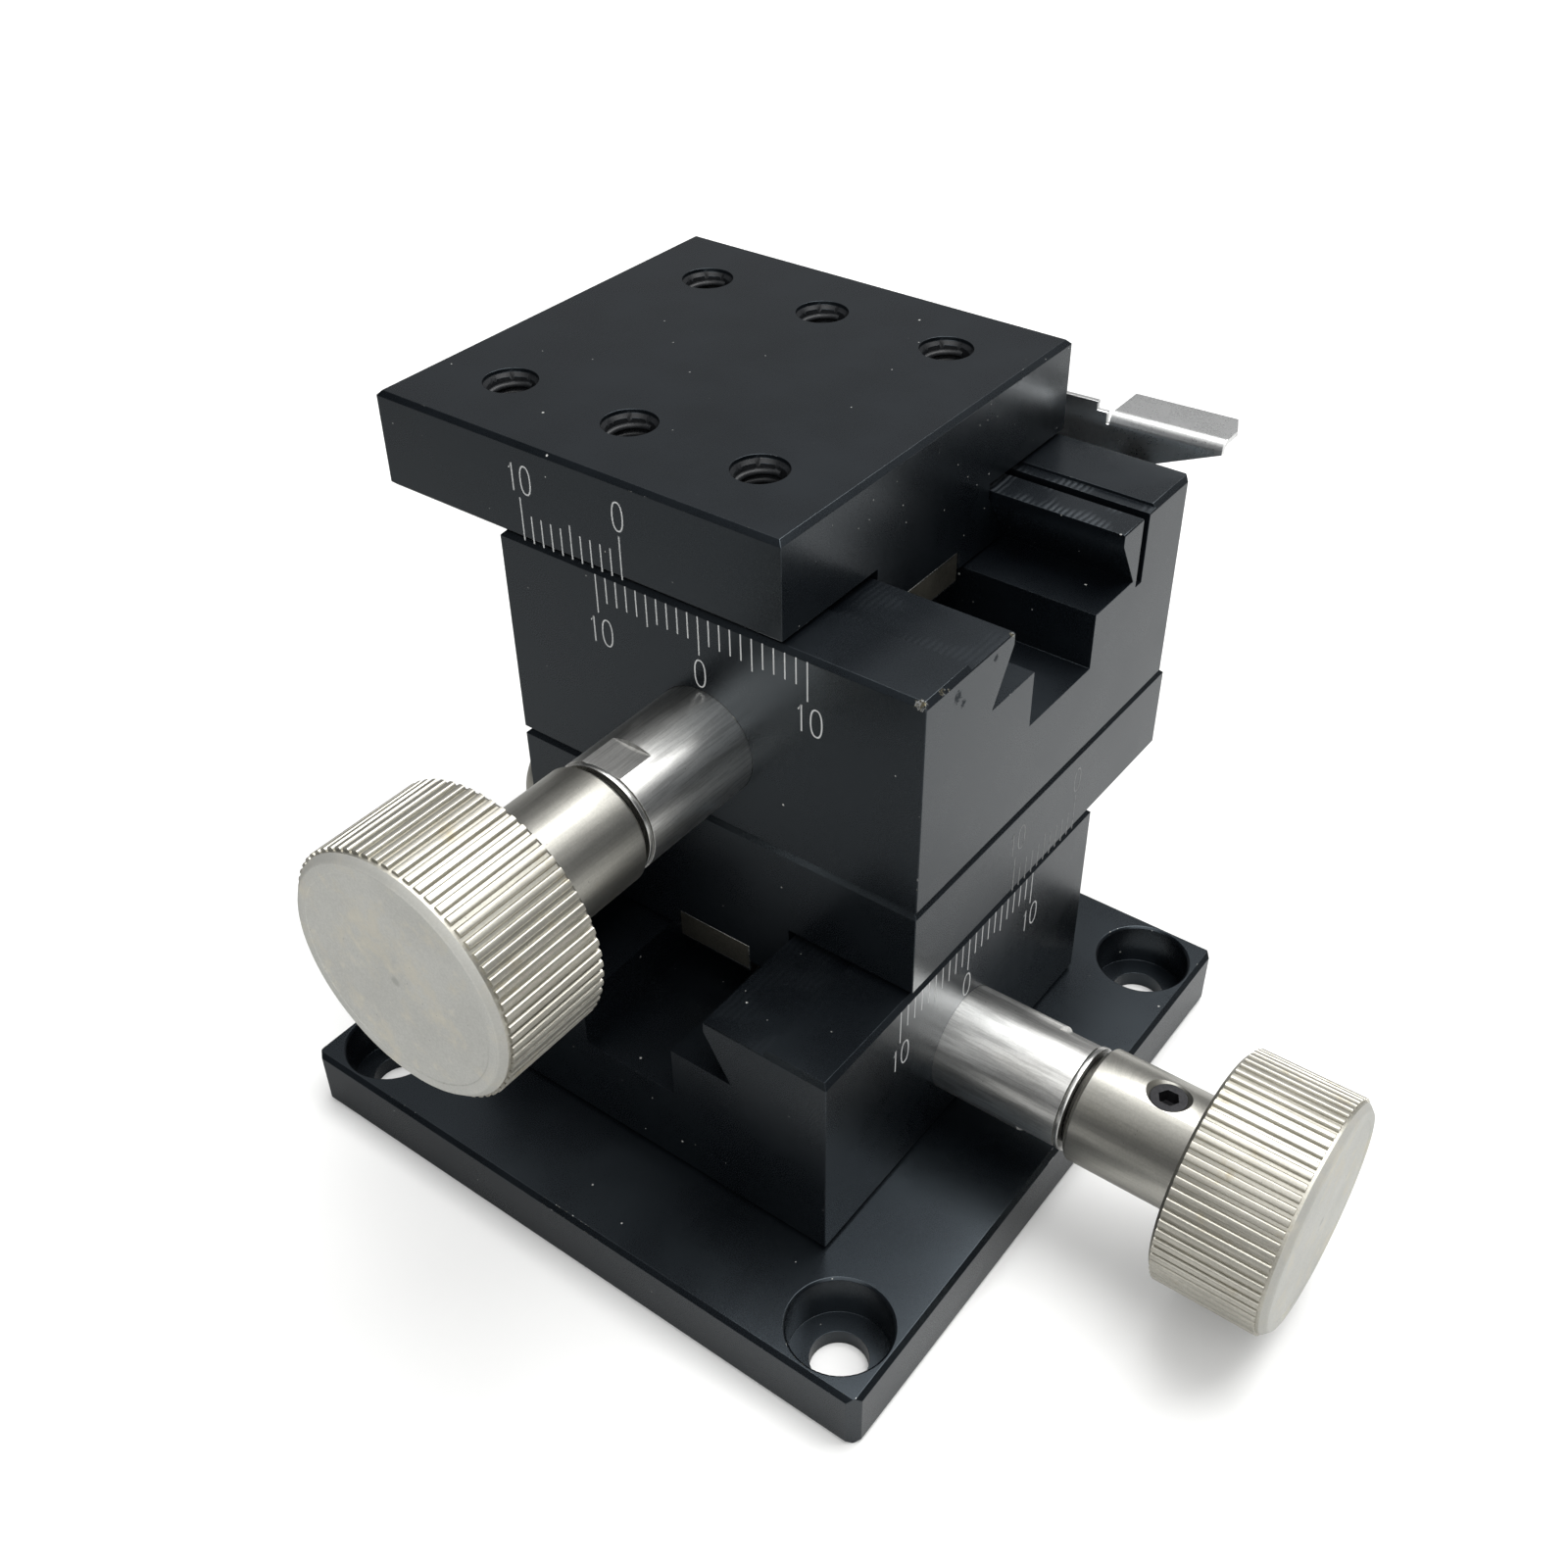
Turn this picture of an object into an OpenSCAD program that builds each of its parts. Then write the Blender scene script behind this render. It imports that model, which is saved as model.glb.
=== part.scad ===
// Two-axis dovetail stage with rack and pinion drives.
// Two equal slide units are stacked crosswise on a square base plate.
// Each unit is drawn once in its own frame: the slide runs along X, the knob is on the
// -Y side, the clamp lever on the +Y side, and Z is up from the underside of the rail block.
// All sizes are millimetres. The origin is the middle of the base plate's underside.

/* [Base plate] */
// How far the base plate stands out beyond the rail block
base_margin = 10; // [9.6:0.2:20]
// Thickness of the base plate
base_t = 6; // [5:0.5:12]
// Chamfer on the upright corners of the base plate
base_corner = 0.9; // [0.4:0.1:3]
// Distance of the bench bolts from the edges of the base plate
base_bolt_inset = 5; // [4.8:0.1:5.2]
// Bore of the bench bolt holes
base_bolt_d = 4.8; // [4.3:0.1:5.5]
// Counterbore for the bench bolt heads
base_head_d = 8.5; // [7.5:0.1:8.8]
// Material left under the bench bolt heads
base_web = 1.6; // [1:0.1:3]
// Chamfer round the rim of a counterbore
base_rim = 0.2; // [0.1:0.05:0.4]

/* [Rail block] */
// Side of the square rail blocks and tables
block_side = 40; // [38:1:60]
// Material left under the pinion bore
block_floor = 2.92; // [2:0.02:6]
// Small chamfer on the edges of the blocks and plates
edge = 0.4; // [0.2:0.05:0.8]
// Chamfer on the two upright edges at the clamp side
rear_edge = 0.9; // [0.4:0.1:1.5]
// Distance between the screws that join the blocks, both ways
join_span = 25; // [24:0.5:28]

/* [Dovetail way] */
// Width of the way between its two lips
way_mouth = 16.6; // [14:0.2:18]
// Depth of the way below the top of the rails
way_depth = 5.8; // [5:0.1:8]
// Height of the upright lip above the slanted flank
way_lip = 1.05; // [0.6:0.05:1.5]
// Slope of the flanks
way_angle = 60; // [50:1:65]
// How far the inner strips lie below the bearing strips
relief = 0.3; // [0.2:0.05:0.5]
// Width of the lowered strip beside the front lip
front_relief_w = 5.8; // [3:0.1:8]
// Width of the lowered ledge behind the gib slot
ledge_w = 1.1; // [0.6:0.1:2]
// Thickness of the thin web that lets the gib flex
gib_web = 0.6; // [0.4:0.05:1]
// Width of the saw slot behind the gib
gib_slot_w = 1; // [0.6:0.1:1.5]
// How far the saw slot runs below the floor of the way
gib_slot_under = 0.85; // [0.4:0.05:1.5]

/* [Table] */
// Thickness of a slide table above the rails
table_t = 8.45; // [7:0.05:14]
// Distance between the outer table holes along the slide
table_hole_span = 25; // [20:1:28]
// Distance between the two rows of table holes
table_row_span = 25; // [22:1:30]
// Bore of a tapped M4 hole
tap_d = 3.3; // [3:0.1:3.4]
// Rim of the countersink on a tapped hole
tap_rim_d = 5.2; // [4.5:0.1:6]
// Where the lower table stands at rest, from the middle of its travel
lower_shift = 11.5; // [-15:0.1:15]
// Where the top table stands at rest, from the middle of its travel
upper_shift = -12.2; // [-15:0.1:15]
// Travel of a table each way from the middle
travel = 15; // [5:0.5:16]

/* [Rack and pinion] */
// Module of the teeth
tooth_module = 0.5; // [0.4:0.05:0.6]
// Number of pinion teeth
pinion_teeth = 16; // [14:1:17]
// Play on each tooth flank
flank_play = 0.05; // [0.03:0.01:0.08]
// Width of the rack
rack_w = 7.7; // [6:0.1:9]
// Height of the rack from its seat to the tips of its teeth
rack_h = 4.45; // [4.2:0.05:7]
// Depth of the rack seat in the slide
rack_seat = 1.7; // [1:0.1:2.4]
// Slope cut off the lower corner at each end of the rack
rack_bevel = 1.55; // [0.5:0.05:2.2]
// Place of each rack screw from the middle of the rack
rack_screw_x = 14.14; // [10:0.02:16]

/* [Shaft and sleeve] */
// Diameter of the shaft in the sleeve and in the knob
shaft_d = 6; // [5:0.1:6.2]
// Diameter of the journal behind the pinion
journal_d = 5; // [4:0.1:5.5]
// Length of the journal
journal_l = 6; // [4:0.5:7]
// Wall of the brass bush round the journal
bush_wall = 1; // [0.8:0.1:1.4]
// Outer diameter of the sleeve
sleeve_d = 9.5; // [9.2:0.1:12]
// How far the sleeve stands out of the rail block
sleeve_out = 11.4; // [8:0.1:16]
// Length of the spanner flats on the sleeve
flat_l = 3.4; // [2:0.1:6]
// Depth of the spanner flats
flat_depth = 0.38; // [0.2:0.02:0.6]
// Direction that the flats of the upper sleeve face
upper_flat_angle = 90; // [0:5:180]
// Direction that the flats of the lower sleeve face
lower_flat_angle = 45; // [0:5:180]

/* [Knob] */
// Diameter of the knurled head
knob_d = 20; // [16:0.5:26]
// Length of the knurled head
knob_l = 9.7; // [7:0.1:14]
// Diameter of the hub
hub_d = 10; // [9:0.1:13]
// Length of the hub
hub_l = 10.2; // [8:0.1:14]
// Number of knurl ridges
knurl_count = 66; // [40:1:80]
// Height of the knurl ridges
knurl_h = 0.38; // [0.2:0.02:0.5]
// Place of the set screw along the hub, from its inner end
knob_screw_at = 6.2; // [3:0.1:7]
// Direction of the set screw on the upper knob at rest
upper_knob_angle = 235; // [0:5:360]
// Direction of the set screw on the lower knob at rest
lower_knob_angle = 87; // [0:1:360]

/* [Clamp] */
// Depth of the clamp screw's axis below the rails
clamp_depth = 3; // [2.8:0.1:3.8]
// Radius of the round end of the lever
lever_hub_r = 5.1; // [4.5:0.1:7]
// Reach of the lever from its pivot
lever_reach = 21.3; // [18:0.1:26]
// Sheet thickness of the lever
lever_t = 0.5; // [0.4:0.1:1]
// How far the tab lies below the top of the round end
tab_drop = 0.85; // [0.6:0.05:1.2]
// Height of the lever's lower corner below the top of the tab
tip_drop = 1.1; // [1.05:0.05:2]
// Length of the finger tab along the lever
tab_l = 10.4; // [6:0.1:11]
// How far the finger tab stands out from the lever's inner face
tab_out = 4.8; // [3.5:0.1:6]
// Radius on the outside of the tab's bend
tab_bend = 1; // [0.8:0.1:1]
// Cut corner on the tip of the tab, measured along the lever
tab_cut = 0.9; // [0.3:0.1:1.5]
// Cut corner on the tip of the tab, measured across it
tab_cut_across = 2; // [1:0.1:2.4]
// Tilt of the lever at rest, up from the slide direction
lever_tilt = 2; // [-20:0.5:20]
// Diameter of the clamp screw's round head
clamp_head_d = 11; // [9:0.1:14]
// Thickness of the clamp screw's head
clamp_head_t = 2.2; // [1.8:0.1:4]
// Gap between the rail block and the lever, filled by the spacer
lever_off = 2.4; // [1.5:0.1:4]

/* [Hidden] */
$fn = 64;

// Clearances
fit_fixed = 0.02;      // between pieces that are held fast in each other
fit_run = 0.05;        // round shafts that turn
way_play = 0.05;       // between the slide and its way, square to the faces
neck_play = 0.3;       // beside the slide's neck
floor_play = 0.3;      // under the slide
end_play = 0.2;        // at the ends of the pinion
touch = 0.05;          // between faces that press on each other
head_sink = 0.15;      // how far a countersunk head lies below its face
cut = 1;               // overrun of every cut

// Footprints
unit_w = block_side;
unit_d = block_side;
base_side = block_side + base_margin + base_margin;
base_bolt_span = base_side - base_bolt_inset - base_bolt_inset;

// Way and slide
lip_low = relief + way_lip;
root_half = way_mouth / 2 + (way_depth - lip_low) / tan(way_angle);
slide_drop = way_depth - floor_play;
function flank_half(depth) = way_mouth / 2 + (depth - lip_low) / tan(way_angle)
    - way_play / sin(way_angle);
neck_half = way_mouth / 2 - neck_play;
neck_drop = lip_low - (neck_play - way_play / sin(way_angle)) * tan(way_angle);
slot_in = root_half + gib_web;
slot_out = slot_in + gib_slot_w;

// Rack and pinion
pitch_r = tooth_module * pinion_teeth / 2;
tooth_pitch = PI * tooth_module;
pressure_angle = 20;
addendum_share = 0.9;
dedendum_share = 1.25;
addendum = addendum_share * tooth_module;
dedendum = dedendum_share * tooth_module;
rack_top = slide_drop - rack_seat;
rack_pitch_depth = rack_top + rack_h - addendum;
rack_side_play = 0.9;
channel_w = rack_w + 2 * rack_side_play;
channel_under = 2.65;
channel_depth = rack_top + rack_h + channel_under;
axis_depth = rack_pitch_depth + pitch_r;
rack_setback = 0.1;
rack_l = unit_w - 2 * rack_setback;
rack_teeth_each_way = floor((rack_l / 2 - rack_bevel) / tooth_pitch);

// Rail block
bore_r = sleeve_d / 2 + fit_fixed;
block_h = axis_depth + bore_r + block_floor;
unit_h = block_h + way_play + table_t;
strip_front = -(way_mouth / 2 + front_relief_w);
strip_rear = slot_out + ledge_w;

// Knob axis, counted outwards from the front face of the rail block
channel_near = -(unit_d / 2 - channel_w / 2);
channel_far = -(unit_d / 2 + channel_w / 2);
bush_r = journal_d / 2 + fit_run + bush_wall;
washer_t = 0.4;
washer_inset = 0.12;
spring_t = 0.45;
spring_inset = 0.85;
hub_start = sleeve_out + touch + washer_t + touch + spring_t + touch;
head_start = hub_start + hub_l;
knob_end = head_start + knob_l;
shaft_in_knob = 14;
shaft_end = hub_start + shaft_in_knob;
knob_back_edge = 0.3;
knob_front_edge = 0.5;
knurl_back_gap = 0.35;
knurl_front_gap = 0.75;
knurl_tip_share = 0.34;
knurl_base_share = 0.84;
knurl_root = 0.05;
face_dish_d = 17;
face_dish = 0.06;

// Screws
m2_d = 2;
m2_head_d = 3.8;
m2_head_h = 1.9;
m2_hex = 1.5;
m2_hex_depth = 1;
m3_d = 3;
m3_hex = 1.5;
m3_hex_depth = 1.2;
m4_d = 4;
m4_head_d = 7.5;
m4_head_h = 2.2;
m4_hex = 2.5;
m4_hex_depth = 1.4;
screw_room = 0.15;     // between a screw head and its recess, on the radius
clear_room = 0.2;      // between a screw and its clearance hole, on the radius
join_grip = 6;         // thread of an M4 screw in the rail block
tap_room = 1.5;        // tapped depth beyond the screw
rack_screw_seat = 1.5; // rack material above a rack screw's head
rack_screw_grip = 4.5; // thread of a rack screw in the slide
gib_screw_l = 6;
gib_screw_x = 12.5;
set_screw_l = 1.6;
set_rim_d = 3.8;

// Stop
stop_d = 2;
stop_y_gap = 2.85;     // from the side of the channel to the middle of the stop pin
stop_wall = 0.3;       // material between the pin's hole and the bush
stop_in = axis_depth - bush_r - fit_fixed - stop_wall - way_depth;
stop_out = 1.2;
stop_play = 0.3;

// Clamp
pad_l = 3;
pad_play = 0.05;
lever_top = lever_hub_r;
tab_top = lever_top - tab_drop;
lever_tip_z = tab_top - tip_drop;
notch_w = 1.2;
notch_over = 0.05;     // how far the notch's floor lies above the tab
bend_relief = 0.25;    // saw cut beside the bend
hex_af = 6;
clamp_hex = 3;
clamp_hex_depth = 1.5;
head_round = 1.3;
spacer_r = 4.5;
tab_start = lever_reach - tab_l;
lever_in = unit_d / 2 + lever_off;
tip_dist = norm([lever_reach, lever_tip_z]);
tangent_angle = atan2(lever_tip_z, lever_reach) - acos(lever_hub_r / tip_dist);

// Finishes
anodised = "#25282c";
anodised_top = "#2c3034";
nickel = "#c9c5ba";
steel = "#b4b3ae";
screw_black = "#3a3a3c";
brass = "#c8a858";
polished = "#dcdcda";

// Frames of the two units
module lower_unit() {
    translate([0, 0, base_t])
        rotate([0, 0, 90])
            children();
}

module upper_unit() {
    translate([0, lower_shift, base_t + unit_h])
        children();
}

// Moves a table and what is on it along its way
module shifted(shift) {
    translate([shift, 0, block_h + way_play])
        children();
}

// Turns a flat drawing upright, with its X along Y, and pulls it along X
module along_x(length) {
    rotate([90, 0, 90])
        linear_extrude(length, center = true)
            children();
}

// Turns a flat drawing upright, facing along Y, from y to y + length
module along_y(y, length) {
    translate([0, y + length, 0])
        rotate([90, 0, 0])
            linear_extrude(length)
                children();
}

// Puts the knob axis along Z, with zero at the front face and outwards positive
module on_knob_axis() {
    translate([0, -unit_d / 2, block_h - axis_depth])
        rotate([90, 0, 0])
            children();
}

// Puts a screw axis of the clamp side along Z, with zero at the rear face and outwards positive
module on_clamp_side(x = 0) {
    translate([x, unit_d / 2, block_h - clamp_depth])
        rotate([-90, 0, 0])
            children();
}

module tube(r, z0, z1) {
    translate([0, 0, z0])
        cylinder(r = r, h = z1 - z0);
}

module hexagon(af, z0, z1) {
    translate([0, 0, z0])
        cylinder(r = af / 2 / cos(30), h = z1 - z0, $fn = 6);
}

module cut_square(w, d, c_front, c_rear) {
    polygon([
        [-w / 2 + c_front, -d / 2], [w / 2 - c_front, -d / 2],
        [w / 2, -d / 2 + c_front], [w / 2, d / 2 - c_rear],
        [w / 2 - c_rear, d / 2], [-w / 2 + c_rear, d / 2],
        [-w / 2, d / 2 - c_rear], [-w / 2, -d / 2 + c_front]
    ]);
}

module cut_side(w, h, c) {
    polygon([
        [-w / 2 + c, 0], [w / 2 - c, 0], [w / 2, c], [w / 2, h - c],
        [w / 2 - c, h], [-w / 2 + c, h], [-w / 2, h - c], [-w / 2, c]
    ]);
}

// A block with chamfered edges, standing on Z = 0
module cut_block(w, d, h, c, c_front, c_rear) {
    intersection() {
        linear_extrude(h)
            cut_square(w, d, c_front, c_rear);
        along_x(w)
            cut_side(d, h, c);
        along_y(-d / 2, d)
            cut_side(w, h, c);
    }
}

module at_four(span_x, span_y) {
    for (x = [-span_x / 2, span_x / 2])
        for (y = [-span_y / 2, span_y / 2])
            translate([x, y, 0])
                children();
}

// Countersunk M4 screw, with its head at Z = 0 and its thread upwards
module flat_screw(length) {
    difference() {
        union() {
            tube(m4_d / 2, head_sink, length);
            translate([0, 0, head_sink])
                cylinder(r1 = m4_head_d / 2, r2 = m4_d / 2, h = m4_head_h);
        }
        hexagon(m4_hex, -cut, head_sink + m4_hex_depth);
    }
}

module flat_screw_hole(length) {
    tube(m4_d / 2 + clear_room, -cut, length + cut);
    tube(m4_head_d / 2 + screw_room, -cut, head_sink);
    translate([0, 0, head_sink])
        cylinder(r1 = m4_head_d / 2 + screw_room, r2 = m4_d / 2 + clear_room, h = m4_head_h);
}

// Base plate
module bench_hole() {
    tube(base_bolt_d / 2, -cut, base_t + cut);
    tube(base_head_d / 2, base_web, base_t + cut);
    translate([0, 0, base_t - base_rim])
        cylinder(r1 = base_head_d / 2, r2 = base_head_d / 2 + base_rim + base_rim, h = base_rim + base_rim);
}

module plate_solid() {
    difference() {
        cut_block(base_side, base_side, base_t, edge, base_corner, base_corner);
        at_four(base_bolt_span, base_bolt_span)
            bench_hole();
        at_four(join_span, join_span)
            flat_screw_hole(base_t);
    }
}

// Rail block: outline of its end, with the way, the pinion channel and the gib slot
module block_outline() {
    polygon([
        [-unit_d / 2, 0],
        [unit_d / 2, 0],
        [unit_d / 2, block_h],
        [strip_rear, block_h],
        [strip_rear, block_h - relief],
        [slot_out, block_h - relief],
        [slot_out, block_h - way_depth - gib_slot_under],
        [slot_in, block_h - way_depth - gib_slot_under],
        [slot_in, block_h - relief],
        [way_mouth / 2, block_h - relief],
        [way_mouth / 2, block_h - lip_low],
        [root_half, block_h - way_depth],
        [channel_w / 2, block_h - way_depth],
        [channel_w / 2, block_h - channel_depth],
        [-channel_w / 2, block_h - channel_depth],
        [-channel_w / 2, block_h - way_depth],
        [-root_half, block_h - way_depth],
        [-way_mouth / 2, block_h - lip_low],
        [-way_mouth / 2, block_h - relief],
        [strip_front, block_h - relief],
        [strip_front, block_h],
        [-unit_d / 2, block_h]
    ]);
}

module rail_block() {
    difference() {
        intersection() {
            along_x(unit_w)
                block_outline();
            cut_block(unit_w, unit_d, block_h, edge, edge, rear_edge);
        }
        on_knob_axis() {
            tube(bore_r, channel_far, cut);
            tube(bush_r + fit_fixed, channel_far - journal_l - touch, channel_far + cut);
        }
        on_clamp_side()
            tube(m4_d / 2 + fit_run, -unit_d / 2 + slot_in, cut);
        for (x = [-gib_screw_x, gib_screw_x])
            on_clamp_side(x)
                tube(m3_d / 2 + fit_fixed, -unit_d / 2 + slot_in, cut);
        at_four(join_span, join_span)
            tube(m4_d / 2 + fit_fixed, -cut, join_grip + tap_room);
        translate([0, channel_w / 2 + stop_y_gap, 0])
            tube(stop_d / 2 + fit_fixed, block_h - way_depth - stop_in, block_h - way_depth + cut);
    }
}

// Slide table: plate above the rails and dovetail slide below, with Z = 0 at the plate's underside
module slide_outline() {
    polygon([
        [-neck_half, cut], [-neck_half, -neck_drop],
        [-flank_half(slide_drop), -slide_drop],
        [flank_half(slide_drop), -slide_drop],
        [neck_half, -neck_drop], [neck_half, cut]
    ]);
}

module slide_solid() {
    difference() {
        union() {
            cut_block(unit_w, unit_d, table_t, edge, edge, edge);
            along_x(unit_w)
                slide_outline();
        }
        translate([0, 0, -slide_drop - cut])
            linear_extrude(rack_seat + cut)
                square([unit_w + cut, rack_w + fit_fixed + fit_fixed], center = true);
        for (x = [-rack_screw_x, rack_screw_x])
            translate([x, 0, 0])
                tube(m2_d / 2 + fit_fixed, -rack_top - cut, -rack_top + rack_screw_grip + touch);
        translate([0, channel_w / 2 + stop_y_gap, -slide_drop - cut])
            linear_extrude(stop_out + stop_play + cut)
                stop_slot();
    }
}

module stop_slot() {
    reach = travel + stop_play;
    width = stop_d + stop_play + stop_play;
    square([reach + reach, width], center = true);
    for (x = [-reach, reach])
        translate([x, 0])
            circle(d = width);
}

module tapped_hole() {
    tube(tap_d / 2, -cut, table_t + cut);
    translate([0, 0, table_t - (tap_rim_d - tap_d) / 2])
        cylinder(d1 = tap_d, d2 = tap_rim_d + tap_rim_d - tap_d, h = tap_rim_d - tap_d);
}

module joined_table() {
    difference() {
        slide_solid();
        at_four(join_span, join_span)
            flat_screw_hole(table_t);
    }
}

module tapped_table() {
    difference() {
        slide_solid();
        for (x = [-table_hole_span / 2, 0, table_hole_span / 2])
            for (y = [-table_row_span / 2, table_row_span / 2])
                translate([x, y, 0])
                    tapped_hole();
    }
}

// Rack: teeth point down, a tooth is centred on the middle, Z = 0 at the table's underside
function rack_half(drop) = tooth_pitch / 4 - flank_play - drop * tan(pressure_angle);

function rack_tooth(i) = [
    [i * tooth_pitch - rack_half(-dedendum), -rack_pitch_depth + dedendum],
    [i * tooth_pitch - rack_half(addendum), -rack_pitch_depth - addendum],
    [i * tooth_pitch + rack_half(addendum), -rack_pitch_depth - addendum],
    [i * tooth_pitch + rack_half(-dedendum), -rack_pitch_depth + dedendum]
];

module rack_outline() {
    low = -rack_pitch_depth + dedendum;
    slope_top = -rack_top - rack_h + rack_bevel;
    inset = max(0, slope_top - low);
    polygon(concat(
        [[rack_l / 2, -rack_top], [-rack_l / 2, -rack_top], [-rack_l / 2, max(slope_top, low)]],
        [[-rack_l / 2 + inset, low]],
        [for (i = [-rack_teeth_each_way : rack_teeth_each_way]) each rack_tooth(i)],
        [[rack_l / 2 - inset, low]],
        [[rack_l / 2, max(slope_top, low)]]
    ));
}

module rack_solid() {
    difference() {
        along_y(-rack_w / 2, rack_w)
            rack_outline();
        for (x = [-rack_screw_x, rack_screw_x])
            translate([x, 0, 0]) {
                tube(m2_d / 2 + clear_room, -rack_top - rack_h, -rack_top + cut);
                tube(m2_head_d / 2 + screw_room, -rack_top - rack_h - cut, -rack_top - rack_screw_seat);
            }
    }
}

module rack_screw() {
    seat = -rack_top - rack_screw_seat;
    difference() {
        union() {
            tube(m2_d / 2, seat, -rack_top + rack_screw_grip);
            tube(m2_head_d / 2, seat - m2_head_h, seat);
        }
        hexagon(m2_hex, seat - m2_head_h - cut, seat - m2_head_h + m2_hex_depth);
    }
}

module rack_screw_pair() {
    for (x = [-rack_screw_x, rack_screw_x])
        translate([x, 0, 0])
            rack_screw();
}

// Pinion: involute teeth, a tooth centred on the X axis
base_r = pitch_r * cos(pressure_angle);
root_r = pitch_r - dedendum;
tip_r = pitch_r + addendum;
flank_steps = 4;
function inv(a) = tan(a) - a * PI / 180;
function half_angle(r) = 90 / pinion_teeth - flank_play / pitch_r * 180 / PI
    + (inv(pressure_angle) - inv(acos(min(1, base_r / r)))) * 180 / PI;
function flank_r(k) = base_r + (tip_r - base_r) * k / flank_steps;
function polar(r, a) = [r * cos(a), r * sin(a)];
function pinion_tooth(a) = concat(
    [polar(root_r, a - half_angle(base_r))],
    [for (k = [0 : flank_steps]) polar(flank_r(k), a - half_angle(flank_r(k)))],
    [for (k = [flank_steps : -1 : 0]) polar(flank_r(k), a + half_angle(flank_r(k)))],
    [polar(root_r, a + half_angle(base_r))]
);

// Turn of the pinion that meshes with the rack when its table is shifted
function mesh_angle(shift) = 90 + 180 / pinion_teeth - shift / pitch_r * 180 / PI;

module pinion_shaft(shift) {
    on_knob_axis()
        rotate([0, 0, mesh_angle(shift)]) {
            translate([0, 0, channel_far + end_play])
                linear_extrude(channel_near - channel_far - end_play - end_play)
                    polygon([for (i = [0 : pinion_teeth - 1]) each pinion_tooth(i * 360 / pinion_teeth)]);
            tube(shaft_d / 2, channel_near - end_play - touch, shaft_end);
            tube(journal_d / 2, channel_far - journal_l + touch, channel_far + end_play + touch);
        }
}

module sleeve_solid(flat_angle) {
    on_knob_axis()
        difference() {
            tube(sleeve_d / 2, channel_near, sleeve_out);
            tube(shaft_d / 2 + fit_run, channel_near - cut, sleeve_out + cut);
            for (turn = [0, 180])
                rotate([0, 0, flat_angle + turn])
                    translate([sleeve_d / 2 - flat_depth, -sleeve_d / 2, sleeve_out - flat_l])
                        cube([sleeve_d / 2, sleeve_d, flat_l + cut]);
        }
}

module bush_solid() {
    on_knob_axis()
        difference() {
            tube(bush_r, channel_far - journal_l, channel_far);
            tube(journal_d / 2 + fit_run, channel_far - journal_l - cut, channel_far + cut);
        }
}

module washer_stack() {
    spring_start = sleeve_out + touch + washer_t + touch;
    on_knob_axis() {
        difference() {
            tube(sleeve_d / 2 - washer_inset, sleeve_out + touch, sleeve_out + touch + washer_t);
            tube(shaft_d / 2 + fit_fixed, sleeve_out, sleeve_out + washer_t + cut);
        }
        difference() {
            tube(sleeve_d / 2 - spring_inset, spring_start, spring_start + spring_t);
            tube(shaft_d / 2 + fit_fixed, spring_start - cut, spring_start + spring_t + cut);
        }
    }
}

// Knob: hub, turned core of the head, and straight knurl
function ridge(a) = let (step = 360 / knurl_count) [
    polar(knob_d / 2 - knurl_h - knurl_root, a - step * knurl_base_share / 2),
    polar(knob_d / 2, a - step * knurl_tip_share / 2),
    polar(knob_d / 2, a + step * knurl_tip_share / 2),
    polar(knob_d / 2 - knurl_h - knurl_root, a + step * knurl_base_share / 2)
];

module knob_core() {
    core_r = knob_d / 2 - knurl_h;
    rotate_extrude()
        polygon([
            [0, hub_start], [hub_d / 2 - knob_back_edge, hub_start],
            [hub_d / 2, hub_start + knob_back_edge], [hub_d / 2, head_start],
            [core_r - knob_back_edge, head_start], [core_r, head_start + knob_back_edge],
            [core_r, knob_end - knob_front_edge], [core_r - knob_front_edge, knob_end],
            [face_dish_d / 2, knob_end], [face_dish_d / 2 - face_dish, knob_end - face_dish],
            [0, knob_end - face_dish]
        ]);
}

module knob_solid(screw_angle) {
    on_knob_axis()
        rotate([0, 0, screw_angle])
            difference() {
                union() {
                    knob_core();
                    translate([0, 0, head_start + knurl_back_gap])
                        linear_extrude(knob_l - knurl_back_gap - knurl_front_gap)
                            polygon([for (i = [0 : knurl_count - 1]) each ridge(i * 360 / knurl_count)]);
                }
                tube(shaft_d / 2 + fit_fixed, hub_start - cut, shaft_end + touch);
                translate([0, 0, hub_start + knob_screw_at])
                    rotate([0, 90, 0]) {
                        tube(m3_d / 2 + fit_fixed, 0, hub_d / 2 + cut);
                        translate([0, 0, hub_d / 2 - (set_rim_d - m3_d) / 2])
                            cylinder(d1 = m3_d, d2 = set_rim_d + set_rim_d - m3_d, h = set_rim_d - m3_d);
                    }
            }
}

module knob_set_screw(screw_angle) {
    on_knob_axis()
        rotate([0, 0, screw_angle])
            translate([0, 0, hub_start + knob_screw_at])
                rotate([0, 90, 0])
                    difference() {
                        tube(m3_d / 2, shaft_d / 2 + touch, shaft_d / 2 + touch + set_screw_l);
                        hexagon(m3_hex, shaft_d / 2 + touch + set_screw_l - m3_hex_depth, hub_d / 2 + cut);
                    }
}

// Screws that set the play of the gib
module gib_screw_pair() {
    start = -unit_d / 2 + slot_in + touch;
    for (x = [-gib_screw_x, gib_screw_x])
        on_clamp_side(x)
            difference() {
                tube(m3_d / 2, start, start + gib_screw_l);
                hexagon(m3_hex, start + gib_screw_l - m3_hex_depth, start + gib_screw_l + cut);
            }
}

module pad_solid() {
    on_clamp_side()
        tube(m4_d / 2 - pad_play, -unit_d / 2 + slot_in + touch, -unit_d / 2 + slot_in + touch + pad_l);
}

module stop_pin_solid() {
    translate([0, channel_w / 2 + stop_y_gap, 0])
        tube(stop_d / 2, block_h - way_depth - stop_in + touch, block_h - way_depth + stop_out);
}

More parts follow.
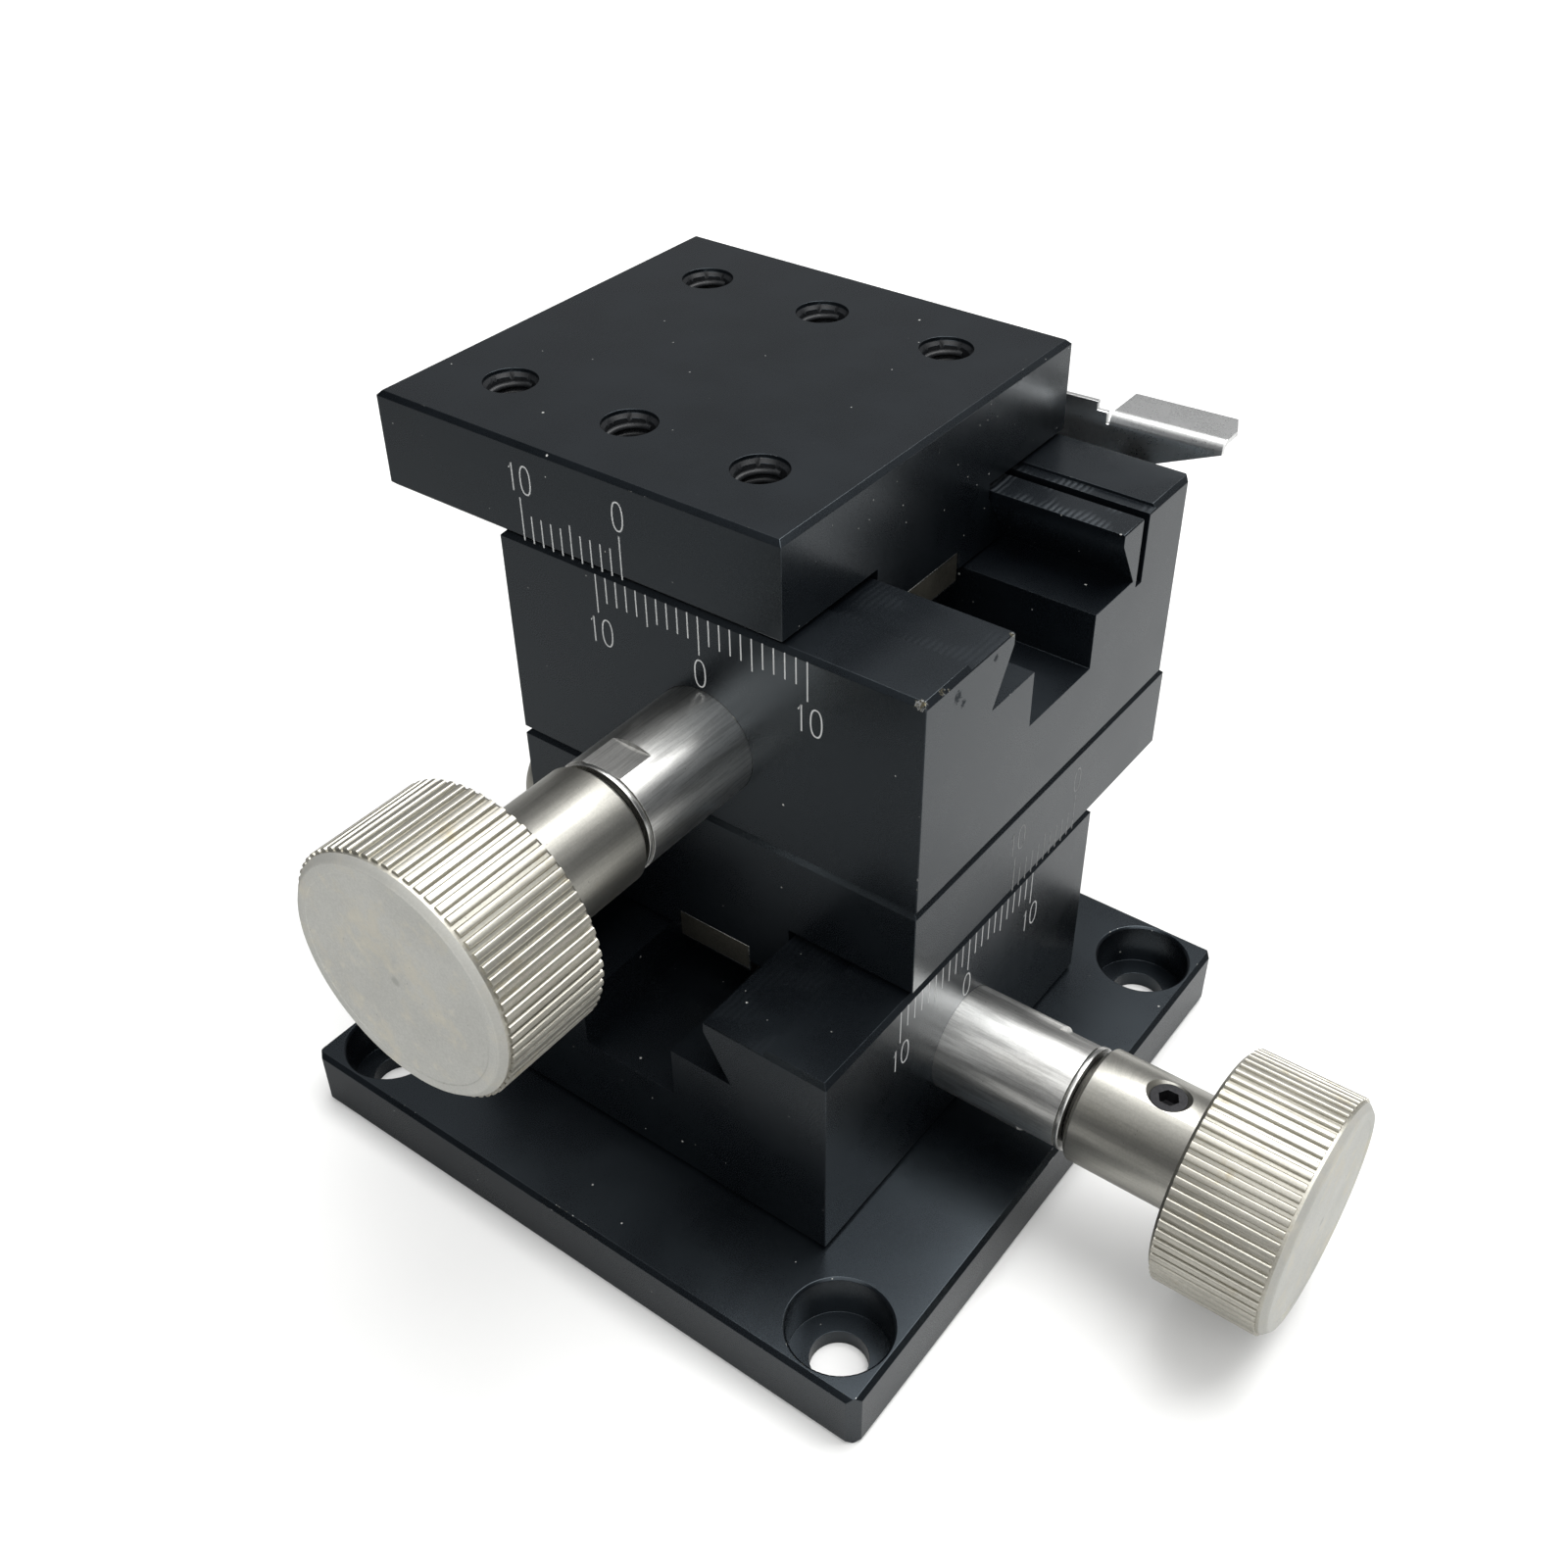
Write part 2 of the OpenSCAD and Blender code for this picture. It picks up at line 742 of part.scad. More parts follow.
// Clamp: the screw, its spacer and the bent lever, tilted about the screw
module tilted() {
    translate([0, 0, block_h - clamp_depth])
        rotate([0, -lever_tilt, 0])
            children();
}

module lever_outline() {
    circle(r = lever_hub_r);
    polygon([
        polar(lever_hub_r - touch, tangent_angle),
        [lever_reach, lever_tip_z],
        [lever_reach, tab_top - tab_bend],
        [tab_start - bend_relief, tab_top - tab_bend],
        [tab_start - bend_relief, tab_top + notch_over],
        [tab_start - notch_w, tab_top + notch_over],
        [tab_start - notch_w, lever_top],
        [0, lever_top],
        [0, 0]
    ]);
}

// Side view of the tab: a foot in the sheet, a quarter bend and a flat; the lever's inner face is at X = 0
module tab_outline() {
    translate([0, tab_top - tab_bend - touch])
        square([lever_t, touch]);
    intersection() {
        translate([tab_bend, tab_top - tab_bend])
            difference() {
                circle(r = tab_bend);
                circle(r = tab_bend - lever_t);
            }
        translate([0, tab_top - tab_bend])
            square([tab_bend, tab_bend]);
    }
    translate([tab_bend, tab_top - lever_t])
        square([tab_out - tab_bend, lever_t]);
}

module lever_solid() {
    tilted()
        difference() {
            union() {
                along_y(lever_in, lever_t)
                    difference() {
                        lever_outline();
                        circle(r = (hex_af / 2 + fit_fixed) / cos(30), $fn = 6);
                    }
                translate([tab_start + tab_l / 2, lever_in, 0])
                    along_x(tab_l)
                        tab_outline();
            }
            translate([lever_reach, lever_in + tab_out, 0])
                linear_extrude(tab_top + cut)
                    polygon([
                        [-tab_cut - tab_cut, tab_cut_across],
                        [tab_cut, -tab_cut_across - tab_cut_across],
                        [tab_cut, tab_cut_across]
                    ]);
        }
}

module clamp_screw_solid() {
    start = -unit_d / 2 + slot_in + touch + pad_l + touch;
    head_at = lever_off + lever_t + touch;
    on_clamp_side()
        difference() {
            union() {
                tube(m4_d / 2, start, lever_off + touch);
                rotate([0, 0, -lever_tilt])
                    hexagon(hex_af, lever_off, head_at + touch);
                translate([0, 0, head_at])
                    rotate_extrude() {
                        square([clamp_head_d / 2 - head_round, clamp_head_t]);
                        square([clamp_head_d / 2, clamp_head_t - head_round]);
                        intersection() {
                            translate([clamp_head_d / 2 - head_round, clamp_head_t - head_round])
                                circle(r = head_round);
                            square([clamp_head_d / 2, clamp_head_t]);
                        }
                    }
            }
            hexagon(clamp_hex, head_at + clamp_head_t - clamp_hex_depth, head_at + clamp_head_t + cut);
        }
}

module spacer_solid() {
    on_clamp_side()
        difference() {
            tube(spacer_r, touch, lever_off - touch);
            tube(m4_d / 2 + fit_run, -cut, lever_off + cut);
        }
}

// Named pieces
module base_plate() { color(anodised) plate_solid(); }
module base_screws() {
    color(screw_black)
        at_four(join_span, join_span)
            flat_screw(base_t + join_grip);
}

module lower_body() { color(anodised) lower_unit() rail_block(); }
module lower_sleeve() { color(steel) lower_unit() sleeve_solid(lower_flat_angle); }
module lower_bush() { color(brass) lower_unit() bush_solid(); }
module lower_gib_screws() { color(screw_black) lower_unit() gib_screw_pair(); }
module lower_clamp_pad() { color(brass) lower_unit() pad_solid(); }
module lower_stop_pin() { color(steel) lower_unit() stop_pin_solid(); }
module lower_pinion_shaft() { color(steel) lower_unit() pinion_shaft(lower_shift); }
module lower_knob() { color(nickel) lower_unit() knob_solid(lower_knob_angle); }
module lower_knob_screw() { color(screw_black) lower_unit() knob_set_screw(lower_knob_angle); }
module lower_washers() { color(steel) lower_unit() washer_stack(); }
module lower_clamp_lever() { color(polished) lower_unit() lever_solid(); }
module lower_clamp_screw() { color(nickel) lower_unit() clamp_screw_solid(); }
module lower_clamp_spacer() { color(steel) lower_unit() spacer_solid(); }

module lower_table() { color(anodised) lower_unit() shifted(lower_shift) joined_table(); }
module lower_rack() { color(steel) lower_unit() shifted(lower_shift) rack_solid(); }
module lower_rack_screws() { color(screw_black) lower_unit() shifted(lower_shift) rack_screw_pair(); }
module joining_screws() {
    color(screw_black)
        lower_unit()
            shifted(lower_shift)
                at_four(join_span, join_span)
                    flat_screw(table_t + join_grip);
}

module upper_body() { color(anodised) upper_unit() rail_block(); }
module upper_sleeve() { color(steel) upper_unit() sleeve_solid(upper_flat_angle); }
module upper_bush() { color(brass) upper_unit() bush_solid(); }
module upper_gib_screws() { color(screw_black) upper_unit() gib_screw_pair(); }
module upper_clamp_pad() { color(brass) upper_unit() pad_solid(); }
module upper_stop_pin() { color(steel) upper_unit() stop_pin_solid(); }
module upper_pinion_shaft() { color(steel) upper_unit() pinion_shaft(upper_shift); }
module upper_knob() { color(nickel) upper_unit() knob_solid(upper_knob_angle); }
module upper_knob_screw() { color(screw_black) upper_unit() knob_set_screw(upper_knob_angle); }
module upper_washers() { color(steel) upper_unit() washer_stack(); }
module upper_clamp_lever() { color(polished) upper_unit() lever_solid(); }
module upper_clamp_screw() { color(nickel) upper_unit() clamp_screw_solid(); }
module upper_clamp_spacer() { color(steel) upper_unit() spacer_solid(); }

module top_table() { color(anodised_top) upper_unit() shifted(upper_shift) tapped_table(); }
module upper_rack() { color(steel) upper_unit() shifted(upper_shift) rack_solid(); }
module upper_rack_screws() { color(screw_black) upper_unit() shifted(upper_shift) rack_screw_pair(); }

base_plate();
base_screws();
lower_body();
lower_sleeve();
lower_bush();
lower_gib_screws();
lower_clamp_pad();
lower_stop_pin();
lower_pinion_shaft();
lower_knob();
lower_knob_screw();
lower_washers();
lower_clamp_lever();
lower_clamp_screw();
lower_clamp_spacer();
lower_table();
lower_rack();
lower_rack_screws();
joining_screws();
upper_body();
upper_sleeve();
upper_bush();
upper_gib_screws();
upper_clamp_pad();
upper_stop_pin();
upper_pinion_shaft();
upper_knob();
upper_knob_screw();
upper_washers();
upper_clamp_lever();
upper_clamp_screw();
upper_clamp_spacer();
top_table();
upper_rack();
upper_rack_screws();
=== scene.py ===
"""Looks of a two-axis dovetail stage: finishes, knurls, threads, engraved scales, light and camera."""

import math

import bmesh
import bpy
from mathutils import Matrix, Vector


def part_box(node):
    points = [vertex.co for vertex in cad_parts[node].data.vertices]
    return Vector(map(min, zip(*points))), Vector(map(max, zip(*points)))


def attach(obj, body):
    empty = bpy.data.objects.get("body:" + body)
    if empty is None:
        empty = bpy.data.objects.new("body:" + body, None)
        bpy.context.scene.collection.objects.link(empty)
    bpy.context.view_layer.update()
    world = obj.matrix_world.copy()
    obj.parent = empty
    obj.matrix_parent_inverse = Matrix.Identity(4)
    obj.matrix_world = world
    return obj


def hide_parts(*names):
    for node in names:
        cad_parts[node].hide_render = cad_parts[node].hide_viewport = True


MM = 0.001

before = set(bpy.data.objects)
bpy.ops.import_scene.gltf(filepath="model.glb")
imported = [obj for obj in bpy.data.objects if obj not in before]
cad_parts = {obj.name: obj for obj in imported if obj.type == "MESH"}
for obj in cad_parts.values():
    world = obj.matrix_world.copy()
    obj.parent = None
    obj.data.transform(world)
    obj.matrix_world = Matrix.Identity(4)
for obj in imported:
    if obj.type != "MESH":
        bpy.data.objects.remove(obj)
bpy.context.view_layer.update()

# Camera, in millimetres and degrees. The focal length is in pixels of a 1600 pixel wide picture
CAMERA_PLACE = (69.0, -88.65, 122.15)
CAMERA_TURN = 37.378
CAMERA_DIP = 38.811
CAMERA_ROLL = -0.879
FOCAL_PIXELS = 1750.0
PICTURE_PIXELS = 1600.0
SENSOR_WIDTH = 36.0

# Dressing of the CAD solids
WELD = 0.002
FLAT_ANGLE = 0.4
EDGE_BREAK = 0.07
FINE_EDGE_BREAK = 0.04
RACK_EDGE_BREAK = 0.16
RACK_END_AREA = (15.0, 50.0)
SHARP_ANGLE = 32.0
SLEEVE_SHARP_ANGLE = 16.0
NEAR = 0.02
LEVEL = 0.99
SIDEWAYS = 0.01
RELIEF = 0.3
GIB_STRIP_WIDTH = 3.5
UPRIGHT_CHAMFER = 0.4
UPRIGHT_LINE = 0.05

# Knob, counted outwards along its axis from the face of the rail block
HUB_START = 12.4
HUB_LENGTH = 10.2
HUB_RADIUS = 5.0
HEAD_LENGTH = 9.7
HEAD_RADIUS = 10.0
RIDGES = 66
RIDGE_HEIGHT = 0.27
RIDGE_ROOT = 0.06
RIDGE_BASE = 0.82
RIDGE_TOP = 0.46
RIDGE_ROUNDING = 0.10
RIDGE_BACK_GAP = 0.35
RIDGE_FRONT_GAP = 0.75
BACK_CHAMFER = 0.3
FRONT_CHAMFER = 0.5
PAINTED_RIM_SHADE_FROM = 9.1
FACE_DISH_RADIUS = 8.5
FACE_DISH = 0.06
PROFILE_ROUNDING = 0.05
SHAFT_RADIUS = 3.0
KNOB_BORE_DEPTH = 14.05
SPRING_WASHER_FROM = 11.87
SET_SCREW_AT = 6.2
SET_HOLE_RADIUS = 1.52
SET_RIM_RADIUS = 1.9
SET_CUTTER_PAST = 0.5
ROUND_STEPS = 192
SET_STEPS = 48

# Tapped holes of the top table
PLATE_THICKNESS = 8.45
TAPPED_COLUMNS = (-12.5, 0.0, 12.5)
TAPPED_ROWS = (-12.5, 12.5)
HOLE_RADIUS = 1.65
HOLE_WITHIN = 0.03
HOLE_RIM_RADIUS = 2.6
RIM_WITHIN = 0.05
SEEN_RIM_RADIUS = 2.27
THREAD_RADIUS = 2.0
THREAD_PITCH = 0.7
THREAD_FROM = 0.4
THREAD_SHORT_BY = 1.6
THREAD_STEPS = 40
THREAD_BITE = 0.02
THREAD_ROOT = 0.01

# Engraved scales
MARK_PITCH = 1.0
MARK_WIDTH = 0.12
MARK_SINK = 0.03
MARK_PROUD = 0.008
TABLE_MARKS = 11
BODY_MARKS = 21
TABLE_SHORT = 2.4
TABLE_MIDDLE = 3.0
TABLE_LONG = 3.75
TABLE_FOOT = 0.1
BODY_SHORT = 2.3
BODY_MIDDLE = 2.85
BODY_LONG = 3.45
BODY_HEAD = 0.4
NUMBER_HEIGHT = 2.4
NUMBER_WIDTH = 1.0
NUMBER_GAP = 0.55
NUMBER_LINE = 0.13
NUMBER_SPACE = 0.45
ONE_SHIFT = 0.22
ONE_FLAG = (0.28, 0.78)
NOUGHT_SQUARENESS = 0.85
NOUGHT_STEPS = 28


# Node trees

def feed(tree, socket, value):
    """Gives a socket a node's output or a plain value. Colours may leave out their fourth share."""
    if isinstance(value, bpy.types.NodeSocket):
        tree.links.new(value, socket)
    elif socket.type == "RGBA" and len(value) == 3:
        socket.default_value = (*value, 1.0)
    else:
        socket.default_value = value


def put(tree, kind, inputs=None, **settings):
    """Adds a node, sets its settings and feeds its inputs."""
    node = tree.nodes.new(kind)
    for name, value in settings.items():
        setattr(node, name, value)
    for key, value in (inputs or {}).items():
        feed(tree, node.inputs[key], value)
    return node


def made(tree, kind, inputs=None, **settings):
    """The first output of a new node."""
    return put(tree, kind, inputs, **settings).outputs[0]


def maths(tree, operation, a, b=0.0):
    return made(tree, "ShaderNodeMath", {0: a, 1: b}, operation=operation)


def times(tree, a, b):
    return maths(tree, "MULTIPLY", a, b)


def plus(tree, a, b):
    return maths(tree, "ADD", a, b)


def only_where(tree, mask, value):
    """The value where the mask is 1, and 1 where the mask is 0."""
    return plus(tree, times(tree, mask, value), maths(tree, "SUBTRACT", 1.0, mask))


def vectors(tree, operation, a, b=(0.0, 0.0, 0.0), output="Vector"):
    return put(tree, "ShaderNodeVectorMath", {0: a, 1: b}, operation=operation).outputs[output]


def combine(tree, **parts):
    return made(tree, "ShaderNodeCombineXYZ", parts)


def ramp(tree, value, low, high, out_low=0.0, out_high=1.0):
    """Value from low to high, stretched smoothly to out_low to out_high."""
    inputs = {"Value": value, "From Min": low, "From Max": high, "To Min": out_low, "To Max": out_high}
    return put(tree, "ShaderNodeMapRange", inputs, interpolation_type="SMOOTHSTEP").outputs["Result"]


def blend_colours(tree, share, first, second):
    return put(tree, "ShaderNodeMix", {0: share, 6: first, 7: second}, data_type="RGBA").outputs[2]


def new_group(name, inputs, outputs):
    """A node group with named sockets. Inputs are (kind, name, value) and outputs are (kind, name)."""
    tree = bpy.data.node_groups.new(name, "ShaderNodeTree")
    for socket_kind, label, value in inputs:
        socket = tree.interface.new_socket(label, in_out="INPUT", socket_type=socket_kind)
        if value is not None:
            socket.default_value = value
    for socket_kind, label in outputs:
        tree.interface.new_socket(label, in_out="OUTPUT", socket_type=socket_kind)
    return tree, tree.nodes.new("NodeGroupInput").outputs, tree.nodes.new("NodeGroupOutput").inputs


FLOAT, VECTOR, INTEGER = "NodeSocketFloat", "NodeSocketVector", "NodeSocketInt"
POSITION = (VECTOR, "Position", None)


def in_millimetres(tree, position, size):
    """The position counted in grains of that many millimetres."""
    scale = maths(tree, "DIVIDE", 1 / MM, size)
    return made(tree, "ShaderNodeVectorMath", {0: position, "Scale": scale}, operation="SCALE")


def noise(tree, position, size, detail=2.0, roughness=0.5):
    """Clouds of that size in millimetres."""
    grains = in_millimetres(tree, position, size)
    inputs = {"Vector": grains, "Scale": 1.0, "Detail": detail, "Roughness": roughness}
    return put(tree, "ShaderNodeTexNoise", inputs).outputs["Fac"]


def raise_relief(tree, pattern, depth, result):
    """Feeds a group's normal with the pattern as a relief, its depth given in millimetres."""
    height = times(tree, pattern, times(tree, depth, MM))
    bump = put(tree, "ShaderNodeBump", {"Height": height, "Strength": 1.0, "Distance": 1.0})
    tree.links.new(bump.outputs[0], result["Normal"])


def blasted_grain_group():
    tree, given, result = new_group(
        "blasted grain",
        [POSITION, (FLOAT, "Grain Size", 0.12), (FLOAT, "Depth", 0.004)],
        [(VECTOR, "Normal"), (FLOAT, "Shade")],
    )
    fine = noise(tree, given["Position"], given["Grain Size"], 3.0, 0.6)
    cloud = noise(tree, given["Position"], 7.0, 3.0)
    raise_relief(tree, fine, given["Depth"], result)
    shade = plus(tree, times(tree, fine, 0.5), times(tree, cloud, 0.5))
    tree.links.new(shade, result["Shade"])
    return tree


def edge_wear_group():
    tree, given, result = new_group(
        "edge wear",
        [POSITION, (FLOAT, "Chip Size", 0.7), (FLOAT, "Amount", 0.3)],
        [(FLOAT, "Bare")],
    )
    chips = noise(tree, given["Position"], given["Chip Size"], 4.0, 0.7)
    places = noise(tree, given["Position"], 9.0, 1.0)
    level = plus(tree, times(tree, chips, 0.6), times(tree, places, 0.4))
    limit = maths(tree, "SUBTRACT", 0.72, times(tree, given["Amount"], 0.3))
    tree.links.new(ramp(tree, level, limit, plus(tree, limit, 0.05)), result["Bare"])
    return tree


def dust_group():
    tree, given, result = new_group(
        "dust",
        [POSITION, (FLOAT, "Spacing", 3.0), (FLOAT, "Speck Size", 0.05), (FLOAT, "Amount", 0.4)],
        [(FLOAT, "Dust")],
    )
    cells = put(
        tree, "ShaderNodeTexVoronoi",
        {"Vector": in_millimetres(tree, given["Position"], given["Spacing"]), "Scale": 1.0},
    )
    reach = maths(tree, "DIVIDE", given["Speck Size"], given["Spacing"])
    speck = ramp(tree, cells.outputs["Distance"], reach, times(tree, reach, 0.5))
    chance = made(tree, "ShaderNodeSeparateColor", {"Color": cells.outputs["Color"]})
    kept = maths(tree, "LESS_THAN", chance, given["Amount"])
    tree.links.new(times(tree, speck, kept), result["Dust"])
    return tree


def nick_group():
    tree, given, result = new_group(
        "nick",
        [POSITION, (VECTOR, "Place", None), (FLOAT, "Reach", 0.6)],
        [(FLOAT, "Bare")],
    )
    away = vectors(tree, "DISTANCE", given["Position"], given["Place"], "Value")
    ragged = noise(tree, given["Position"], 0.22, 4.0, 0.75)
    near = maths(tree, "DIVIDE", away, times(tree, given["Reach"], MM))
    level = plus(tree, near, times(tree, ragged, 1.9))
    tree.links.new(ramp(tree, level, 1.5, 1.32), result["Bare"])
    return tree


def stain_group():
    tree, given, result = new_group(
        "stain",
        [POSITION, (FLOAT, "Size", 4.0), (FLOAT, "Amount", 0.3)],
        [(FLOAT, "Stain")],
    )
    cloud = noise(tree, given["Position"], given["Size"], 4.0, 0.62)
    limit = maths(tree, "SUBTRACT", 0.78, times(tree, given["Amount"], 0.4))
    tree.links.new(ramp(tree, cloud, limit, plus(tree, limit, 0.2)), result["Stain"])
    return tree


def turning_group():
    tree, given, result = new_group(
        "turning lines",
        [(VECTOR, "Turned", None), (FLOAT, "Line Spacing", 0.09), (FLOAT, "Depth", 0.001)],
        [(VECTOR, "Normal"), (FLOAT, "Shade")],
    )
    lines = vectors(tree, "MULTIPLY", given["Turned"], (1.0, 1.0, 0.015))
    tracks = noise(tree, lines, given["Line Spacing"], 3.0, 0.65)
    raise_relief(tree, tracks, given["Depth"], result)
    tree.links.new(tracks, result["Shade"])
    return tree


def cutter_group():
    tree, given, result = new_group(
        "cutter marks",
        [POSITION, (FLOAT, "Step", 0.5), (FLOAT, "Depth", 0.01)],
        [(VECTOR, "Normal"), (FLOAT, "Shade")],
    )
    place = in_millimetres(tree, given["Position"], given["Step"])
    arcs = put(
        tree, "ShaderNodeTexWave",
        {"Vector": place, "Scale": 0.35, "Distortion": 3.0, "Detail": 2.0, "Detail Scale": 0.8},
        wave_type="BANDS", bands_direction="X",
    ).outputs["Fac"]
    patches = ramp(tree, noise(tree, given["Position"], 3.5, 1.0), 0.45, 0.62)
    marks = times(tree, arcs, patches)
    raise_relief(tree, marks, given["Depth"], result)
    tree.links.new(marks, result["Shade"])
    return tree


BLASTED = blasted_grain_group()
WEAR = edge_wear_group()
DUST = dust_group()
NICK = nick_group()
STAIN = stain_group()
TURNING = turning_group()
CUTTER = cutter_group()


# Materials

def new_material(name):
    material = bpy.data.materials.new(name)
    material.use_nodes = True
    tree = material.node_tree
    return material, tree, tree.nodes.new("ShaderNodeTexCoord").outputs["Object"]


def set_surface(tree, **values):
    """Feeds the material's own shader."""
    for name, value in values.items():
        feed(tree, tree.nodes["Principled BSDF"].inputs[name.replace("_", " ")], value)


def place_group(tree, group, **values):
    node = tree.nodes.new("ShaderNodeGroup")
    node.node_tree = group
    for name, value in values.items():
        feed(tree, node.inputs[name.replace("_", " ")], value)
    return node.outputs


def turned_place(tree):
    return put(tree, "ShaderNodeAttribute", attribute_name="turned").outputs["Vector"]


GRIME = (0.12, 0.11, 0.10)
STREAK_SHADE = (0.16, 0.155, 0.14)
PALE_BLOTCH = (0.70, 0.68, 0.60)
# Colour of the knob face's darker centre mark, and of the painted shade on the band round its rim
CENTRE_MARK_AND_PAINTED_RIM_SHADE = (0.30, 0.295, 0.27)
WORN_PAINT_SHADE = (0.06, 0.063, 0.068)
SHEET_WHITE = (0.82, 0.82, 0.81)
BARE_ALUMINIUM = (0.50, 0.51, 0.50)
STAINED_ALUMINIUM = (0.20, 0.18, 0.12)
DUST_COLOUR = (0.55, 0.55, 0.52)
DYE_DARK = (0.0016, 0.0022, 0.0030)
DYE_LIGHT = (0.0028, 0.0037, 0.0049)
EDGE_DARK = (0.0030, 0.0036, 0.0044)
EDGE_LIGHT = (0.0070, 0.0080, 0.0092)
# Lighter colour painted along cutter marks, a painted sheen, and its share per mm of mark depth
MILLED_MARK_SHEEN = (0.030, 0.034, 0.038)
MILLED_SHEEN_SHARE = 32.0
SKIN_IOR = 1.56
SKIN_TINT = (0.76, 0.89, 1.0)
PAINT_ROUGHNESS = 0.55
# Knocked and rubbed places on the upper block: their centres and how far they reach, in millimetres
NICKS = [
    ((19.4, -8.45, 53.4), 0.80),
    ((19.9, -6.2, 53.45), 0.55),
    ((20.0, -5.6, 53.2), 0.30),
    ((17.2, -8.45, 53.5), 0.35),
    ((8.5, -8.45, 53.5), 0.30),
    ((19.9, 2.9, 53.1), 0.40),
    ((19.9, 3.3, 50.9), 0.28),
]
SMUDGES = [
    ((20.0, -4.4, 51.9), 0.95),
    ((20.0, -3.6, 50.9), 0.60),
    ((20.0, 0.6, 52.4), 0.55),
]


def worn_places(tree, position, spots, worn=None):
    """A mask of ragged spots, added to what is worn already."""
    for spot, reach in spots:
        place = tuple(value * MM for value in spot)
        nick = place_group(tree, NICK, Position=position, Place=place, Reach=reach)["Bare"]
        worn = maths(tree, "MAXIMUM", worn, nick) if worn else nick
    return worn


def black_anodised(name, dark, light, wear, cutter_depth=0.0):
    """Dyed, blasted aluminium with a hard clear skin, dusty, and bare where it was knocked. Cutter
    marks, where given, carry a painted sheen.
    """
    material, tree, position = new_material(name)
    grain = place_group(tree, BLASTED, Position=position, Grain_Size=0.10, Depth=0.0012)
    colour = blend_colours(tree, ramp(tree, grain["Shade"], 0.35, 0.65), dark, light)
    dust = place_group(tree, DUST, Position=position, Spacing=2.4, Speck_Size=0.13, Amount=0.22)["Dust"]
    lint = place_group(tree, DUST, Position=position, Spacing=1.1, Speck_Size=0.07, Amount=0.10)["Dust"]
    dusty = maths(tree, "MAXIMUM", dust, lint)
    colour = blend_colours(tree, times(tree, dusty, 0.75), colour, DUST_COLOUR)
    bare = None
    if wear:
        bare = place_group(tree, WEAR, Position=position, Chip_Size=0.5, Amount=wear)["Bare"]
    bare = worn_places(tree, position, NICKS, bare)
    smudge = worn_places(tree, position, SMUDGES)
    spots = ramp(tree, noise(tree, position, 0.3, 2.0), 0.42, 0.58)
    metal = blend_colours(tree, spots, BARE_ALUMINIUM, STAINED_ALUMINIUM)
    colour = blend_colours(tree, bare, colour, metal)
    rough = ramp(tree, grain["Shade"], 0.3, 0.7, 0.25, 0.32)
    dulled = maths(tree, "MAXIMUM", dusty, smudge)
    rough = plus(tree, rough, times(tree, dulled, 0.45))
    normal = grain["Normal"]
    if cutter_depth:
        marks = place_group(tree, CUTTER, Position=position, Step=0.60, Depth=cutter_depth)
        normal = marks["Normal"]
        # The cutter marks are painted lighter: a painted sheen along them
        mark_sheen = times(tree, marks["Shade"], MILLED_SHEEN_SHARE * cutter_depth)
        colour = blend_colours(tree, mark_sheen, colour, MILLED_MARK_SHEEN)
    set_surface(
        tree, Base_Color=colour, Metallic=bare, Roughness=rough, Normal=normal, IOR=SKIN_IOR,
        Specular_Tint=SKIN_TINT,
    )
    return material


def satin_metal(name, colours, rough, stain, lines, grain, streak=0.0, metallic=1.0, faced=False):
    """Bare or plated metal with turning lines, a fine grain, faint stains and streaks along the part.

    The colours are the high one, the deep one and the stain's. Lines and grain are depths in mm.
    """
    colour, deep, stain_colour = colours
    material, tree, position = new_material(name)
    tracks = place_group(tree, TURNING, Turned=turned_place(tree), Line_Spacing=0.10, Depth=lines)
    fine = place_group(tree, BLASTED, Position=position, Grain_Size=0.16, Depth=grain)
    base = blend_colours(tree, ramp(tree, fine["Shade"], 0.3, 0.7), deep, colour)
    mark = place_group(tree, STAIN, Position=position, Size=2.6, Amount=stain)["Stain"]
    pits = place_group(tree, DUST, Position=position, Spacing=0.6, Speck_Size=0.06, Amount=0.16)["Dust"]
    base = blend_colours(tree, times(tree, mark, 0.6), base, stain_colour)
    base = blend_colours(tree, times(tree, pits, 0.6), base, GRIME)
    along = vectors(tree, "MULTIPLY", turned_place(tree), (0.4, 0.06, 1.0))
    streaks = noise(tree, along, 0.32, 4.0, 0.7)
    streaks = ramp(tree, streaks, 0.42, 0.62, 0.0, streak)
    base = blend_colours(tree, streaks, base, STREAK_SHADE)
    if faced:
        # Knob face: a darker centre mark in the middle, and painted shade on the band round the rim and
        # its chamfer
        radius = put(tree, "ShaderNodeSeparateXYZ", {0: turned_place(tree)}).outputs["X"]
        centre = ramp(tree, radius, 0.55 * MM, 0.20 * MM, 0.0, 0.55)
        rim = ramp(tree, radius, PAINTED_RIM_SHADE_FROM * MM, (PAINTED_RIM_SHADE_FROM + 0.3) * MM, 0.0, 0.50)
        blotch = place_group(tree, STAIN, Position=position, Size=1.3, Amount=0.55)["Stain"]
        base = blend_colours(tree, times(tree, blotch, 0.30), base, PALE_BLOTCH)
        base = blend_colours(tree, maths(tree, "MAXIMUM", centre, rim), base, CENTRE_MARK_AND_PAINTED_RIM_SHADE)
    varied = plus(tree, rough - 0.05, times(tree, tracks["Shade"], 0.1))
    varied = plus(tree, varied, times(tree, mark, 0.08))
    normal = vectors(tree, "NORMALIZE", vectors(tree, "ADD", tracks["Normal"], fine["Normal"]))
    set_surface(tree, Base_Color=base, Metallic=metallic, Roughness=varied, Normal=normal)
    return material


